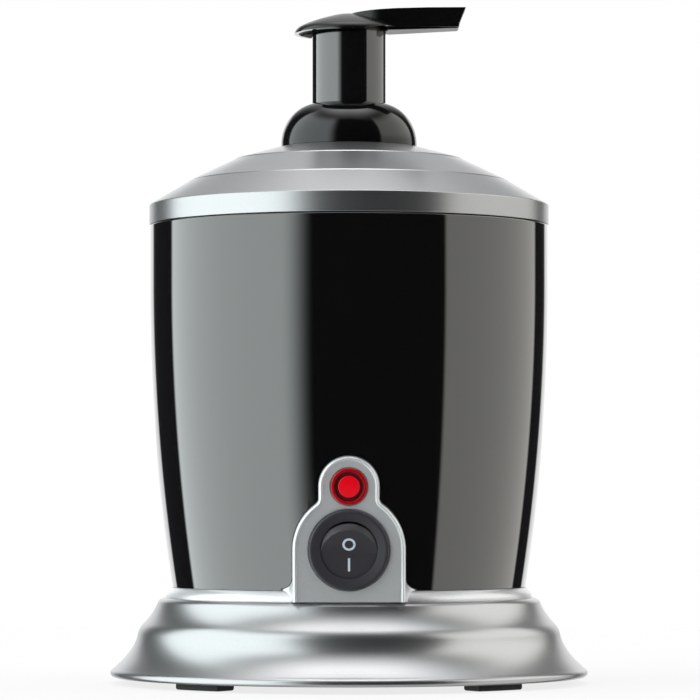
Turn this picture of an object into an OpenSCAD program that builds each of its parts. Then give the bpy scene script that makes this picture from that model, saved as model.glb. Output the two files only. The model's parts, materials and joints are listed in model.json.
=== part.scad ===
// Heated lather machine: a plinth, a barrel with a heated bottle inside, and a foam pump on top.
// +Z is up, the controls face -Y, the spout points to +X and the origin is on the table.

/* [Barrel] */
// Outside diameter of the barrel at its top
barrel_d = 120; // [100:1:144]
// Height of the barrel
barrel_h = 107.8; // [90:0.1:130]
// Upright part of the barrel below its rim
barrel_upright = 16.6; // [8:0.1:24]
// How much the radius shrinks from the rim to the foot
barrel_taper = 7.05; // [4:0.05:9]
// Wall of the barrel
barrel_wall = 2.5; // [2:0.1:3]

/* [Plinth] */
// Height of the skirt
skirt_h = 23.6; // [20:0.1:28]
// How far the skirt flares out past the barrel's foot
skirt_flare = 18.5; // [14:0.1:22]
// Wall of the skirt
skirt_wall = 2.5; // [2:0.1:3]
// Height of the collar ring between the skirt and the barrel
ring_h = 3.2; // [2.6:0.1:4]
// Gap under the skirt
skirt_gap = 2; // [1.5:0.1:3]
// Thickness of the base plate
plate_t = 3; // [2.5:0.1:4]
// Thickness of a rubber foot
foot_t = 2.2; // [2:0.1:3.2]
// Angle that a foot covers
foot_angle = 15; // [10:1:24]

/* [Controls] */
// Height of the switch centre
switch_z = 40.5; // [38.5:0.1:43]
// How far the switch face stands out from the barrel's foot
switch_out = 4.45; // [3.6:0.05:5.5]
// Lean of the control face
face_lean = 2.6; // [0:0.1:5]
// Distance from the switch centre up to the lamp centre
lamp_rise = 18.1; // [17:0.1:20]
// Radius of the fascia round the switch
pod_r = 16.2; // [15:0.1:18]
// Radius of the fascia round the lamp
pod_top_r = 8.74; // [7.6:0.02:10]
// Width of the raised edge
edge_w = 1.3; // [0.8:0.1:1.8]
// Height of the raised edge
edge_h = 0.6; // [0.3:0.1:1]
// Diameter of the switch bezel
bezel_d = 23; // [22.4:0.1:24]
// Diameter of the switch body
switch_body_d = 20; // [19.6:0.1:20.4]
// Diameter of the opening round the rocker
rocker_d = 16.4; // [15:0.1:16.8]
// Angle that the rocker swings
rocker_swing = 18; // [12:1:18]
// Diameter of the lamp lens
lens_d = 10.5; // [9.6:0.1:11.4]

/* [Lid] */
// Height of the lid's rim band
rim_h = 6; // [5.4:0.1:8]
// Width of the lowest sloping tier
tier_1_w = 12; // [9:0.1:13]
// Rise of the lowest tier
tier_1_rise = 7.1; // [6:0.1:9]
// Width of the middle tier
tier_2_w = 13.5; // [9:0.1:14]
// Rise of the middle tier
tier_2_rise = 6.3; // [5:0.1:8]
// Rise of the top tier
top_rise = 3.5; // [3:0.1:5]
// Wall of the lid
lid_wall = 2.4; // [2:0.1:2.8]

/* [Heating] */
// Height of the well's floor above the table
well_floor_z = 71; // [69:0.5:74]
// Wall of the aluminium well
well_wall = 2; // [1.5:0.1:2.4]
// Width of the well's flange
flange_w = 10; // [9.5:0.1:10.4]
// Height of the heater band
heater_h = 38; // [28:1:42]
// Thickness of the heater band
heater_t = 2.2; // [1.6:0.1:2.6]
// Thickness of the insulation sleeve
sleeve_t = 2.8; // [2:0.1:3]

/* [Bottle and pump] */
// Wall of the bottle
bottle_wall = 1.4; // [1:0.1:1.8]
// Height of the bottle's neck above the lid
neck_rise = 5.7; // [5:0.1:6.5]
// Outside diameter of the bottle's neck
neck_d = 31.6; // [30:0.1:33]
// Outside diameter of the air cylinder
cylinder_d = 27.4; // [26.4:0.1:27.6]
// Diameter of the pump column
column_d = 22.4; // [20:0.1:22.6]
// Diameter of the pump collar
collar_d = 40.8; // [39:0.1:44]
// Height of the pump collar
collar_h = 13.3; // [12.6:0.1:15]
// Stroke of the pump
stroke = 14; // [10:0.5:15]
// Diameter of the dip tube
dip_d = 5; // [4:0.1:5.4]

/* [Pump head] */
// Height of the head's underside above the collar
head_rise = 20.7; // [18:0.1:24]
// Radius of the head's cap
cap_r = 16.4; // [15:0.1:18]
// Height of the domed cap
cap_h = 6.2; // [5:0.1:8]
// Reach of the spout from the axis
spout_reach = 34.9; // [30:0.1:40]
// Width of the spout's tip
spout_tip_w = 10.6; // [9:0.1:12]
// Wall of the head
head_wall = 1.3; // [1:0.1:1.6]

/* [Cord entry] */
// Bore of the cord gland
cord_bore_d = 6.6; // [5:0.1:7]
// Height of the cord gland
gland_z = 13.2; // [13:0.1:14]

/* [Hidden] */
$fn = 96;
FINE = 40;          // sides of small screws and holes
over = 1;           // how far a cutter runs past what it cuts

// clearances
slide_gap = 0.2;    // between pieces that slot into each other
touch_gap = 0.1;    // between faces that come apart
turn_gap = 0.3;     // round the pump column
shank_gap = 0.05;   // round a screw's shank
wire_gap = 0.25;    // between a wire's end and its terminal

// heights
skirt_top = skirt_gap + skirt_h;
barrel_z = skirt_top + ring_h;
barrel_top = barrel_z + barrel_h;
plate_top = foot_t + plate_t;

// the barrel's outside is upright at the top and one long arc below
barrel_r = barrel_d / 2;
barrel_drop = barrel_h - barrel_upright;
barrel_arc = (pow(barrel_drop, 2) + pow(barrel_taper, 2)) / (2 * barrel_taper);
function barrel_out(z) =
    let (d = max(0, barrel_top - barrel_upright - z))
    barrel_r - barrel_arc + sqrt(pow(barrel_arc, 2) - pow(d, 2));
barrel_foot_r = barrel_out(barrel_z);
switch_y = barrel_foot_r + switch_out;
ARC_STEPS = 12;

// a smooth curve through stations, each [radius, height, heading in degrees]
function flow_point(a, b, t) =
    let (k = norm([b[0] - a[0], b[1] - a[1]]))
    [for (i = [0, 1])
        let (ta = i == 0 ? cos(a[2]) : sin(a[2]), tb = i == 0 ? cos(b[2]) : sin(b[2]))
        (2 * pow(t, 3) - 3 * pow(t, 2) + 1) * a[i] + (pow(t, 3) - 2 * pow(t, 2) + t) * k * ta
        + (3 * pow(t, 2) - 2 * pow(t, 3)) * b[i] + (pow(t, 3) - pow(t, 2)) * k * tb];
function flow(stations, steps) = [
    for (i = [0 : len(stations) - 2])
        for (j = [0 : steps - 1])
            flow_point(stations[i], stations[i + 1], j / steps),
    [stations[len(stations) - 1][0], stations[len(stations) - 1][1]]
];
// the same stations moved in by a wall
function inset(stations, wall) =
    [for (s = stations) [s[0] - wall * sin(s[2]), s[1] + wall * cos(s[2]), s[2]]];
function backwards(list) = [for (i = [len(list) - 1 : -1 : 0]) list[i]];

// ---- plinth ----
base_r = barrel_foot_r + skirt_flare;
skirt_stations = [
    [base_r, skirt_gap + skirt_wall / 2, 90],
    [base_r - 1.3, skirt_gap + 2.8, 139],
    [base_r - 8.2, skirt_gap + 12.7, 101],
    [base_r - 10, skirt_gap + 16, 136],
    [base_r - 14.2, skirt_gap + skirt_h - 1.4, 112],
    [barrel_foot_r + 1.9, skirt_top, 180]
];
skirt_seat_t = 2.5;                   // thickness of the ledge that carries the barrel
seat_hole_r = barrel_foot_r - 15;
plate_r = base_r - skirt_wall - 2.2;
post_r = 4;
post_ring = barrel_foot_r + 0.6;
POST_ANGLES = [20, 160, 200, 340];
BOSS_ANGLES = [50, 130, 230, 310];
boss_ring = barrel_foot_r - 9.4;
screw_r = 1.5;
screw_head_r = 2.9;
screw_head_h = 1.8;
screw_reach = 9;
screw_slot = 0.6;

module at_angles(angles, ring) {
    for (a = angles)
        rotate([0, 0, a])
            translate([ring, 0, 0])
                children();
}

// a pan head screw whose head stands on z = 0 and whose shank points down
module screw(reach) {
    translate([0, 0, -reach])
        cylinder(r = screw_r - shank_gap, h = reach, $fn = FINE);
    difference() {
        cylinder(r = screw_head_r, h = screw_head_h, $fn = FINE);
        for (turn = [0, 90])
            rotate([0, 0, turn])
                translate([-screw_head_r / 2, -screw_slot / 2, screw_head_h / 2])
                    cube([screw_head_r, screw_slot, screw_head_h]);
    }
}

gland_face = base_r - 5.5;
gland_web = 3;
gland_groove_r = 4.6;
gland_flange_r = 6;
gland_flange_t = 1.6;
gland_boss_r = gland_flange_r + 1.6;
gland_boss_sink = 3;                     // the boss reaches this far in past its web
gland_room = 4;                          // space behind the flange

module base_skirt() {
    outer = flow(skirt_stations, 6);
    inner = backwards(flow(inset(skirt_stations, skirt_wall), 6));
    color("silver") difference() {
        union() {
            rotate_extrude()
                polygon(concat(
                    [[base_r - skirt_wall / 2, skirt_gap]],
                    outer,
                    [[seat_hole_r, skirt_top], [seat_hole_r, skirt_top - skirt_seat_t]],
                    inner));
            at_angles(POST_ANGLES, post_ring)
                translate([0, 0, plate_top])
                    cylinder(r = post_r, h = skirt_top - skirt_seat_t / 2 - plate_top);
            translate([0, gland_face, gland_z])
                rotate([90, 0, 0])
                    cylinder(r = gland_boss_r, h = gland_web + gland_boss_sink);
        }
        at_angles(POST_ANGLES, post_ring)
            translate([0, 0, plate_top - over])
                cylinder(r = screw_r, h = screw_reach + over, $fn = FINE);
        at_angles(BOSS_ANGLES, boss_ring)
            translate([0, 0, skirt_top - skirt_seat_t - over])
                cylinder(r = screw_r + slide_gap, h = skirt_seat_t + 2 * over, $fn = FINE);
        translate([0, gland_face, gland_z])
            rotate([-90, 0, 0])
                cylinder(r = gland_boss_r, h = skirt_flare);
        translate([0, gland_face + over, gland_z])
            rotate([90, 0, 0])
                cylinder(r = gland_groove_r + shank_gap, h = skirt_flare);
        translate([0, gland_face - gland_web, gland_z])
            rotate([90, 0, 0])
                cylinder(r = gland_flange_r + slide_gap, h = gland_flange_t + gland_room);
    }
}

counterbore = screw_head_h + slide_gap;
VENTS = 12;
vent_ring = 24;
vent_l = 14;
vent_w = 3;

module base_plate() {
    color("dimgray") difference() {
        rotate_extrude()
            polygon([
                [0, foot_t], [plate_r, foot_t], [plate_r, foot_t + plate_t / 2],
                [plate_r - plate_t, plate_top], [0, plate_top]]);
        at_angles(POST_ANGLES, post_ring)
            translate([0, 0, foot_t - over])
                cylinder(r = screw_head_r + slide_gap, h = counterbore + over, $fn = FINE);
        at_angles(POST_ANGLES, post_ring)
            translate([0, 0, foot_t])
                cylinder(r = screw_r + slide_gap, h = plate_t + over, $fn = FINE);
        at_angles([for (i = [0 : VENTS - 1]) (i + 0.5) * 360 / VENTS], vent_ring)
            translate([0, -vent_w / 2, foot_t - over])
                cube([vent_l, vent_w, plate_t + 2 * over]);
        translate([0, block_y, foot_t - over])
            cylinder(r = screw_r + slide_gap, h = plate_t + 2 * over, $fn = FINE);
        translate([0, block_y, foot_t - over])
            cylinder(r = screw_head_r + slide_gap, h = counterbore + over, $fn = FINE);
    }
}

module base_screws() {
    color("gainsboro")
        at_angles(POST_ANGLES, post_ring)
            translate([0, 0, foot_t + counterbore])
                mirror([0, 0, 1])
                    screw(plate_t - counterbore + screw_reach - over);
}

module barrel_screws() {
    color("gainsboro")
        at_angles(BOSS_ANGLES, boss_ring)
            translate([0, 0, skirt_top - skirt_seat_t])
                mirror([0, 0, 1])
                    screw(skirt_seat_t + screw_reach - over);
}

foot_out = base_r - 5.5;
foot_w = 8;
foot_lean = 42;         // a foot's middle, from the front or rear centre line
foot_bevel = 0.6;

module foot(angle) {
    color("black")
        rotate([0, 0, angle - foot_angle / 2])
            rotate_extrude(angle = foot_angle)
                polygon([
                    [foot_out - foot_w + foot_bevel, 0], [foot_out - foot_bevel, 0],
                    [foot_out, foot_bevel], [foot_out, foot_t],
                    [foot_out - foot_w, foot_t], [foot_out - foot_w, foot_bevel]]);
}

module foot_front_left() { foot(-90 - foot_lean); }
module foot_front_right() { foot(-90 + foot_lean); }
module foot_rear_left() { foot(90 + foot_lean); }
module foot_rear_right() { foot(90 - foot_lean); }

module cord_gland() {
    color("black") difference() {
        translate([0, gland_face + gland_flange_t, gland_z])
            rotate([90, 0, 0]) {
                cylinder(r = gland_flange_r, h = gland_flange_t);
                cylinder(r = gland_groove_r, h = 2 * gland_flange_t + gland_web);
                translate([0, 0, gland_flange_t + gland_web])
                    cylinder(r = gland_flange_r, h = gland_flange_t);
            }
        translate([0, gland_face + gland_flange_t + over, gland_z])
            rotate([90, 0, 0])
                cylinder(r = cord_bore_d / 2, h = gland_web + 2 * gland_flange_t + 2 * over);
    }
}

// ---- control fascia ----
pod_depth = 11.5;
face_t = 2.2;
pod_wall = 2;
pod_fillet = 2;
flare_r = 3.3;
pod_foot = skirt_top - switch_z;         // foot of the fascia, measured from the switch
ring_in = barrel_foot_r - 3;
recess = 0.6;
recess_gap = 1;                          // face left between the switch's and the lamp's recesses

// the frame of the control face: X across, Y up the face, Z out of it
module on_face() {
    translate([0, -switch_y, switch_z])
        rotate([90 + face_lean, 0, 0])
            children();
}

lamp_y = max(lamp_rise, (bezel_d + lens_d) / 2 + recess_gap);    // the lamp keeps clear of the bezel
neck_x = pod_top_r + pod_fillet;
neck_y = sqrt(pow(pod_r + pod_fillet, 2) - pow(neck_x, 2));
neck_touch = pod_r / (pod_r + pod_fillet);
flare_foot = pod_foot + ring_h;
flare_y = flare_foot + flare_r;

// the fascia's outline without its fillets, grown by g all round
module pod_blocks(g) {
    circle(r = pod_r + g);
    translate([0, lamp_y])
        circle(r = pod_top_r + g);
    translate([-pod_top_r - g, 0])
        square([2 * (pod_top_r + g), lamp_y]);
    translate([-pod_r - g, pod_foot])
        square([2 * (pod_r + g), -pod_foot]);
}

module pod_outline(g) {
    pod_blocks(g);
    for (side = [0, 1])
        mirror([side, 0]) {
            difference() {
                polygon([[pod_top_r / 2, neck_y], [neck_x, neck_y],
                    [neck_x * neck_touch, neck_y * neck_touch], [pod_top_r / 2, neck_y / 2]]);
                translate([neck_x, neck_y])
                    circle(r = pod_fillet - g);
            }
        }
}

// the fillets that spread from the fascia's sides onto the collar ring
module pod_flares() {
    intersection() {
        cylinder(r = barrel_foot_r + 1.9, h = switch_z);
        on_face()
            translate([0, 0, -pod_depth])
                linear_extrude(pod_depth)
                    for (side = [0, 1])
                        mirror([side, 0])
                            difference() {
                                translate([pod_r - 1, flare_foot - 1])
                                    square([flare_r + 1, flare_r + 1]);
                                translate([pod_r + flare_r, flare_y])
                                    circle(r = flare_r);
                            }
    }
}

// the hole that the fascia sits in: straight corners that clear its fillets
module pod_opening(g) {
    pod_blocks(g);
    for (side = [0, 1])
        mirror([side, 0]) {
            polygon([[0, neck_y + g], [pod_top_r + g, neck_y + g],
                [neck_x * neck_touch + g, neck_y * neck_touch + g], [0, 0]]);
            polygon([[0, flare_y + g], [pod_r + g, flare_y + g],
                [pod_r + flare_r + g, flare_foot], [pod_r + flare_r + g, pod_foot - ring_h],
                [0, pod_foot - ring_h]]);
        }
}

ring_out = 1.9;
ring_top_in = 0.3;

module control_fascia() {
    color("silver") {
        difference() {
            union() {
                rotate_extrude()
                    polygon(concat(
                        [[ring_in, skirt_top]],
                        flow([[barrel_foot_r + ring_out, skirt_top, 80],
                              [barrel_foot_r - ring_top_in, barrel_z, 150]], 5),
                        [[ring_in, barrel_z]]));
                on_face()
                    translate([0, 0, -pod_depth])
                        linear_extrude(pod_depth)
                            pod_outline(0);
                pod_flares();
                on_face()
                    linear_extrude(edge_h)
                        difference() {
                            pod_outline(0);
                            pod_outline(-edge_w);
                            translate([-pod_r, pod_foot - over])
                                square([2 * pod_r, ring_h]);
                        }
            }
            on_face()
                translate([0, 0, -pod_depth - over])
                    linear_extrude(pod_depth + over - face_t)
                        pod_outline(-pod_wall);
            on_face() {
                translate([0, 0, -recess])
                    cylinder(d = bezel_d + 2 * slide_gap, h = recess + over);
                translate([0, 0, -face_t - over])
                    cylinder(d = switch_body_d + 2 * slide_gap, h = face_t + 2 * over);
                translate([0, lamp_y, -recess])
                    cylinder(d = lens_d + 2 * slide_gap, h = recess + over);
                translate([0, lamp_y, -face_t - over])
                    cylinder(r = lamp_shank_r + slide_gap, h = face_t + 2 * over, $fn = FINE);
            }
            translate([0, 0, skirt_top - skirt_h])
                cylinder(r = base_r, h = skirt_h);
        }
    }
}

// ---- barrel ----
lip_h = 3;
lip_r = barrel_r - 3;
lip_w = 1.8;
shelf_z = barrel_top - 2.2;
shelf_t = 2.5;
shelf_haunch = 6;                        // the shelf's underside slopes down this far to the wall
shelf_in = lip_r - lip_w - 3.8;
spigot_out = ring_in - slide_gap;
spigot_t = 2.6;
foot_flange_t = 2.5;
barrel_boss_h = 12;
web_rise = ring_h + foot_flange_t / 2;   // a boss's web starts inside the foot flange
well_screw_ring = shelf_in + 0.2;
WELL_ANGLES = [30, 150, 270];
well_boss_r = 3.5;
well_boss_h = 10;

function barrel_side(wall, from, to) = [
    for (i = [0 : ARC_STEPS])
        let (z = from + (to - from) * i / ARC_STEPS)
        [barrel_out(z) - wall, z]
];

module barrel() {
    bend_z = barrel_top - barrel_upright;
    color("black") difference() {
        union() {
            rotate_extrude()
                polygon(concat(
                    barrel_side(0, barrel_z, bend_z),
                    [[barrel_r, barrel_top], [lip_r, barrel_top], [lip_r, barrel_top + lip_h],
                     [lip_r - lip_w, barrel_top + lip_h], [lip_r - lip_w, shelf_z],
                     [shelf_in, shelf_z], [shelf_in, shelf_z - shelf_t],
                     [barrel_r - barrel_wall, shelf_z - shelf_t - shelf_haunch]],
                    backwards(barrel_side(barrel_wall, barrel_z + foot_flange_t, bend_z)),
                    [[spigot_out - spigot_t, barrel_z + foot_flange_t],
                     [spigot_out - spigot_t, skirt_top + slide_gap],
                     [spigot_out, skirt_top + slide_gap], [spigot_out, barrel_z]]));
            at_angles(BOSS_ANGLES, boss_ring)
                translate([0, 0, skirt_top]) {
                    cylinder(r = post_r, h = barrel_boss_h);
                    translate([0, -spigot_t / 2, web_rise])
                        cube([barrel_foot_r - barrel_wall / 2 - boss_ring, spigot_t,
                            barrel_boss_h - web_rise]);
                }
            at_angles(WELL_ANGLES, well_screw_ring)
                translate([0, 0, shelf_z - well_boss_h]) {
                    cylinder(r = well_boss_r, h = well_boss_h);
                    translate([0, -well_boss_r, 0])
                        cube([barrel_r - barrel_wall / 2 - well_screw_ring, 2 * well_boss_r,
                            well_boss_h]);
                }
        }
        at_angles(BOSS_ANGLES, boss_ring)
            translate([0, 0, skirt_top - over])
                cylinder(r = screw_r, h = screw_reach + over, $fn = FINE);
        at_angles(WELL_ANGLES, well_screw_ring)
            translate([0, 0, shelf_z - screw_reach])
                cylinder(r = screw_r, h = screw_reach + over, $fn = FINE);
        on_face()
            translate([0, 0, -pod_depth * 2])
                linear_extrude(pod_depth * 3)
                    pod_opening(slide_gap);
    }
}

// ---- lid ----
rim_r = barrel_r - 0.2;
rim_z = barrel_top + 0.25;
rim_top = rim_z + rim_h;
tier_1_r = rim_r - tier_1_w;
tier_2_r = tier_1_r - tier_2_w;
tier_step = 0.3;
tier_1_top = rim_top + tier_1_rise;
tier_2_top = tier_1_top + tier_step + tier_2_rise;
lid_top = tier_2_top + tier_step + top_rise;
neck_in = cylinder_d / 2 + turn_gap;
neck_r = max(neck_d / 2, neck_in + 1.2);         // the neck keeps a wall round the cylinder
collar_r = max(collar_d / 2, neck_r + 4.6);      // and the collar stays wider than the neck
lid_seat_r = collar_r + 0.5;
lid_hole_r = neck_r + 2.2;
seal_h = 1.5;
seal_z = barrel_top + lip_h + shank_gap;

module lid() {
    drop = lid_wall + 0.2;
    color("silver")
        rotate_extrude()
            polygon([
                [rim_r, rim_z], [rim_r, rim_top], [tier_1_r, tier_1_top],
                [tier_1_r - tier_step, tier_1_top + tier_step],
                [tier_2_r, tier_2_top], [tier_2_r - tier_step, tier_2_top + tier_step],
                [lid_seat_r, lid_top], [lid_hole_r, lid_top],
                [lid_hole_r, lid_top - lid_wall], [lid_seat_r + 2, lid_top - lid_wall],
                [tier_2_r - tier_step, tier_2_top - drop],
                [tier_1_r - tier_step, tier_1_top - drop],
                [lip_r - lip_w - 0.2, rim_top - drop + 2], [lip_r - lip_w - 0.2, seal_z + seal_h],
                [lip_r + slide_gap, seal_z + seal_h], [lip_r + slide_gap, rim_z]]);
}

module lid_seal() {
    color("dimgray")
        translate([0, 0, seal_z])
            difference() {
                cylinder(r = lip_r, h = seal_h);
                translate([0, 0, -over])
                    cylinder(r = lip_r - lip_w, h = seal_h + 2 * over);
            }
}

// ---- heating ----
well_out = lip_r - lip_w - slide_gap - flange_w;
well_in = well_out - well_wall;
well_floor_t = 3;
well_flange_t = 2;
well_chamfer = 3;
well_bottom = well_floor_z - well_floor_t;
heater_in = well_out + touch_gap;
heater_out = heater_in + heater_t;
heater_mid = (well_floor_z + shelf_z - well_boss_h) / 2;
heater_slot = 8;
heater_mid_r = (heater_in + heater_out) / 2;
clamp_h = 12;
clamp_t = 0.6;
clamp_in = heater_out + touch_gap;
clamp_out = clamp_in + clamp_t;
lug_t = 1;
lug_reach = 6;
lug_face = heater_slot / 2 - 0.5;        // a lug's inner face, from the middle of the slot
nut_r = 2.8;
nut_h = 2.4;
sleeve_in = clamp_out + 1.6;
sleeve_out = sleeve_in + sleeve_t;
sleeve_slot = 26;
stud_r = 3;
stud_h = 5;
stud_x = 11;

module heating_well() {
    color("lightgray") {
        difference() {
            union() {
                rotate_extrude()
                    polygon([
                        [0, well_bottom], [well_out - well_chamfer, well_bottom],
                        [well_out, well_floor_z],
                        [well_out, shelf_z], [well_out + flange_w, shelf_z],
                        [well_out + flange_w, shelf_z + well_flange_t],
                        [well_in, shelf_z + well_flange_t], [well_in, well_floor_z + well_chamfer],
                        [well_in - well_chamfer, well_floor_z], [0, well_floor_z]]);
                for (side = [-1, 1])
                    translate([side * stud_x, 0, well_bottom - stud_h])
                        cylinder(r = stud_r, h = stud_h + over, $fn = FINE);
                translate([clip_stud_x, fuse_clip_y, well_bottom - stud_h])
                    cylinder(r = stud_r, h = stud_h + over, $fn = FINE);
            }
            at_angles(WELL_ANGLES, well_screw_ring)
                translate([0, 0, shelf_z - over])
                    cylinder(r = screw_r + slide_gap, h = well_flange_t + 2 * over, $fn = FINE);
            for (side = [-1, 1])
                translate([side * stud_x, 0, well_bottom - stud_h - over])
                    cylinder(r = screw_r, h = stud_h + over, $fn = FINE);
            translate([clip_stud_x, fuse_clip_y, well_bottom - stud_h - over])
                cylinder(r = screw_r, h = stud_h + over, $fn = FINE);
        }
    }
}

module well_screws() {
    color("gainsboro")
        at_angles(WELL_ANGLES, well_screw_ring)
            translate([0, 0, shelf_z + well_flange_t])
                screw(screw_reach);
}

// a ring with a slot of the given width at the rear
module split_ring(inside, outside, h, slot) {
    difference() {
        cylinder(r = outside, h = h);
        translate([0, 0, -over])
            cylinder(r = inside, h = h + 2 * over);
        translate([-slot / 2, 0, -over])
            cube([slot, 2 * outside, h + 2 * over]);
    }
}

module heater_band() {
    color("peru")
        translate([0, 0, heater_mid - heater_h / 2])
            split_ring(heater_in, heater_out, heater_h, heater_slot);
}

module heater_clamp() {
    color("gainsboro")
        translate([0, 0, heater_mid - clamp_h / 2]) {
            split_ring(clamp_in, clamp_out, clamp_h, 2 * lug_face);
            difference() {
                for (side = [0, 1])
                    mirror([side, 0, 0])
                        translate([lug_face, clamp_in - slide_gap, 0])
                            cube([lug_t, lug_reach + clamp_t, clamp_h]);
                translate([-heater_slot, clamp_out + lug_reach / 2, clamp_h / 2])
                    rotate([0, 90, 0])
                        cylinder(r = screw_r + slide_gap, h = 2 * heater_slot, $fn = FINE);
                cylinder(r = clamp_in, h = clamp_h + over);
            }
        }
}

module clamp_screw() {
    lug_back = lug_face + lug_t;
    color("gainsboro")
        translate([0, clamp_out + lug_reach / 2, heater_mid]) {
            translate([lug_back, 0, 0])
                rotate([0, 90, 0])
                    screw(2 * lug_back + nut_h + over);
            translate([-lug_back, 0, 0])
                rotate([0, -90, 0])
                    difference() {
                        cylinder(r = nut_r, h = nut_h, $fn = 6);
                        translate([0, 0, -over])
                            cylinder(r = screw_r, h = nut_h + 2 * over, $fn = FINE);
                    }
        }
}

sleeve_rise = 4;
sleeve_top_gap = 1;

module insulation_sleeve() {
    sleeve_z = well_floor_z + sleeve_rise;
    color("wheat")
        translate([0, 0, sleeve_z])
            split_ring(sleeve_in, sleeve_out, shelf_z - well_boss_h - sleeve_top_gap - sleeve_z, sleeve_slot);
}

// ---- parts under the well ----
thermostat_r = 8;
thermostat_h = 8;
ear_t = 1.2;
PINS = [-4, 4];
pin_w = 0.8;
pin_d = 4.8;
pin_l = 6;
fuse_x = -27;
fuse_y = -8;
fuse_r = 2;
fuse_l = 15;
fuse_lead = 4;
fuse_pin_r = 0.6;
clip_stud_x = fuse_x + 8;
fuse_clip_y = fuse_y + fuse_r;
clip_t = 0.8;
thermostat_top = well_bottom - touch_gap;
ear_z = well_bottom - stud_h - ear_t;

module thermostat() {
    color("darkslategray") {
        translate([0, 0, thermostat_top - thermostat_h])
            cylinder(r = thermostat_r, h = thermostat_h);
        difference() {
            translate([-stud_x - stud_r, -stud_r, ear_z])
                cube([2 * (stud_x + stud_r), 2 * stud_r, ear_t]);
            for (side = [-1, 1])
                translate([side * stud_x, 0, ear_z - over])
                    cylinder(r = screw_r + slide_gap, h = ear_t + 2 * over, $fn = FINE);
        }
        for (x = PINS)
            translate([x - pin_w / 2, -pin_d / 2, thermostat_top - thermostat_h - pin_l])
                cube([pin_w, pin_d, pin_l + slide_gap]);
    }
}

module thermostat_screws() {
    color("gainsboro")
        for (side = [-1, 1])
            translate([side * stud_x, 0, ear_z])
                mirror([0, 0, 1])
                    screw(ear_t + stud_h - 1);
}

fuse_z = well_bottom - fuse_r - clip_t - touch_gap;

module thermal_fuse() {
    color("ivory")
        translate([fuse_x, fuse_y - fuse_l / 2, fuse_z])
            rotate([-90, 0, 0]) {
                cylinder(r = fuse_r, h = fuse_l, $fn = FINE);
                translate([0, 0, -fuse_lead])
                    cylinder(r = fuse_pin_r, h = fuse_l + 2 * fuse_lead, $fn = FINE);
            }
}

module fuse_clip() {
    hook_r = fuse_r + touch_gap;
    clip_w = 5;
    clip_y = fuse_clip_y - clip_w / 2;
    strap_z = well_bottom - stud_h - clip_t;
    color("gainsboro") {
        difference() {
            union() {
                translate([fuse_x, clip_y, fuse_z])
                    rotate([-90, 0, 0])
                        cylinder(r = hook_r + clip_t, h = clip_w);
                translate([fuse_x, clip_y, strap_z])
                    cube([clip_stud_x - fuse_x, clip_w, clip_t]);
                translate([clip_stud_x, fuse_clip_y, strap_z])
                    cylinder(r = stud_r, h = clip_t, $fn = FINE);
            }
            translate([clip_stud_x, fuse_clip_y, strap_z - over])
                cylinder(r = screw_r + slide_gap, h = clip_t + 2 * over, $fn = FINE);
            translate([fuse_x, clip_y - over, fuse_z])
                rotate([-90, 0, 0])
                    cylinder(r = hook_r, h = clip_w + 2 * over);
        }
        translate([clip_stud_x, fuse_clip_y, strap_z])
            mirror([0, 0, 1])
                screw(clip_t + stud_h - 1);
    }
}

// ---- terminal block ----
block_y = 27;
block_l = 30;
block_w = 16;
block_h = 11;
POLES = [-10, 10];
POLE_SCREWS = [-4, 4];
pole_z = plate_top + 4;
pole_r = 1.7;
pole_tip = 0.2;                          // what a clamping screw's shank adds under its head

module terminal_block() {
    color("whitesmoke") difference() {
        translate([-block_l / 2, block_y - block_w / 2, plate_top])
            cube([block_l, block_w, block_h]);
        for (x = POLES) {
            translate([x, block_y - block_w / 2 - over, pole_z])
                rotate([-90, 0, 0])
                    cylinder(r = pole_r, h = block_w + 2 * over, $fn = FINE);
            for (y = POLE_SCREWS)
                translate([x, block_y + y, pole_z])
                    cylinder(r = screw_head_r + slide_gap, h = block_h, $fn = FINE);
        }
        translate([0, block_y, plate_top - over])
            cylinder(r = screw_r, h = screw_reach, $fn = FINE);
    }
}

pole_screw_rise = 2;
block_screw_short = 2;

module terminal_screws() {
    color("gainsboro")
        for (x = POLES)
            for (y = POLE_SCREWS)
                translate([x, block_y + y, pole_z + pole_screw_rise])
                    screw(pole_tip);
}

module block_screw() {
    color("gainsboro")
        translate([0, block_y, foot_t + counterbore])
            mirror([0, 0, 1])
                screw(plate_t - counterbore + screw_reach - block_screw_short);
}

// ---- switch ----
bezel_r = bezel_d / 2;
bezel_t = 2;
bezel_crest = bezel_t - recess;          // height of the bezel's crest over the face
opening_z = 0.9;
valley_z = 0.4;
pivot_z = -7.1;
rest_tilt = rocker_swing / 2;
opening_r = rocker_d / 2;
cavity_r = norm([opening_r, opening_z - pivot_z]);
rocker_ball_r = cavity_r - 0.25;
skirt_level = 6.9;                       // the rocker's skirt ends this far above its pivot
body_r = switch_body_d / 2;
body_back = -18;
rocker_half = body_r - 1.25;
pin_r = 1.5;
pin_tip = 8.4;
core_x = 5.9;
core_y = 4.6;
core_z = -2.2;
core_room = [2 * core_x + 0.6, 14.8, 12];        // the space that the rocker's core swings in
core_room_z = -7;
cavity_floor = 4.4;
nub_r = 1.6;
nub_l = 3;
nub_z = -4.6;
BLADES = [-5, 0, 5];
blade_l = 8;
blade_w = 4.6;
blade_t = 0.8;
blade_seat = 3;

module in_switch() {
    on_face()
        translate([0, 0, pivot_z])
            children();
}

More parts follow.
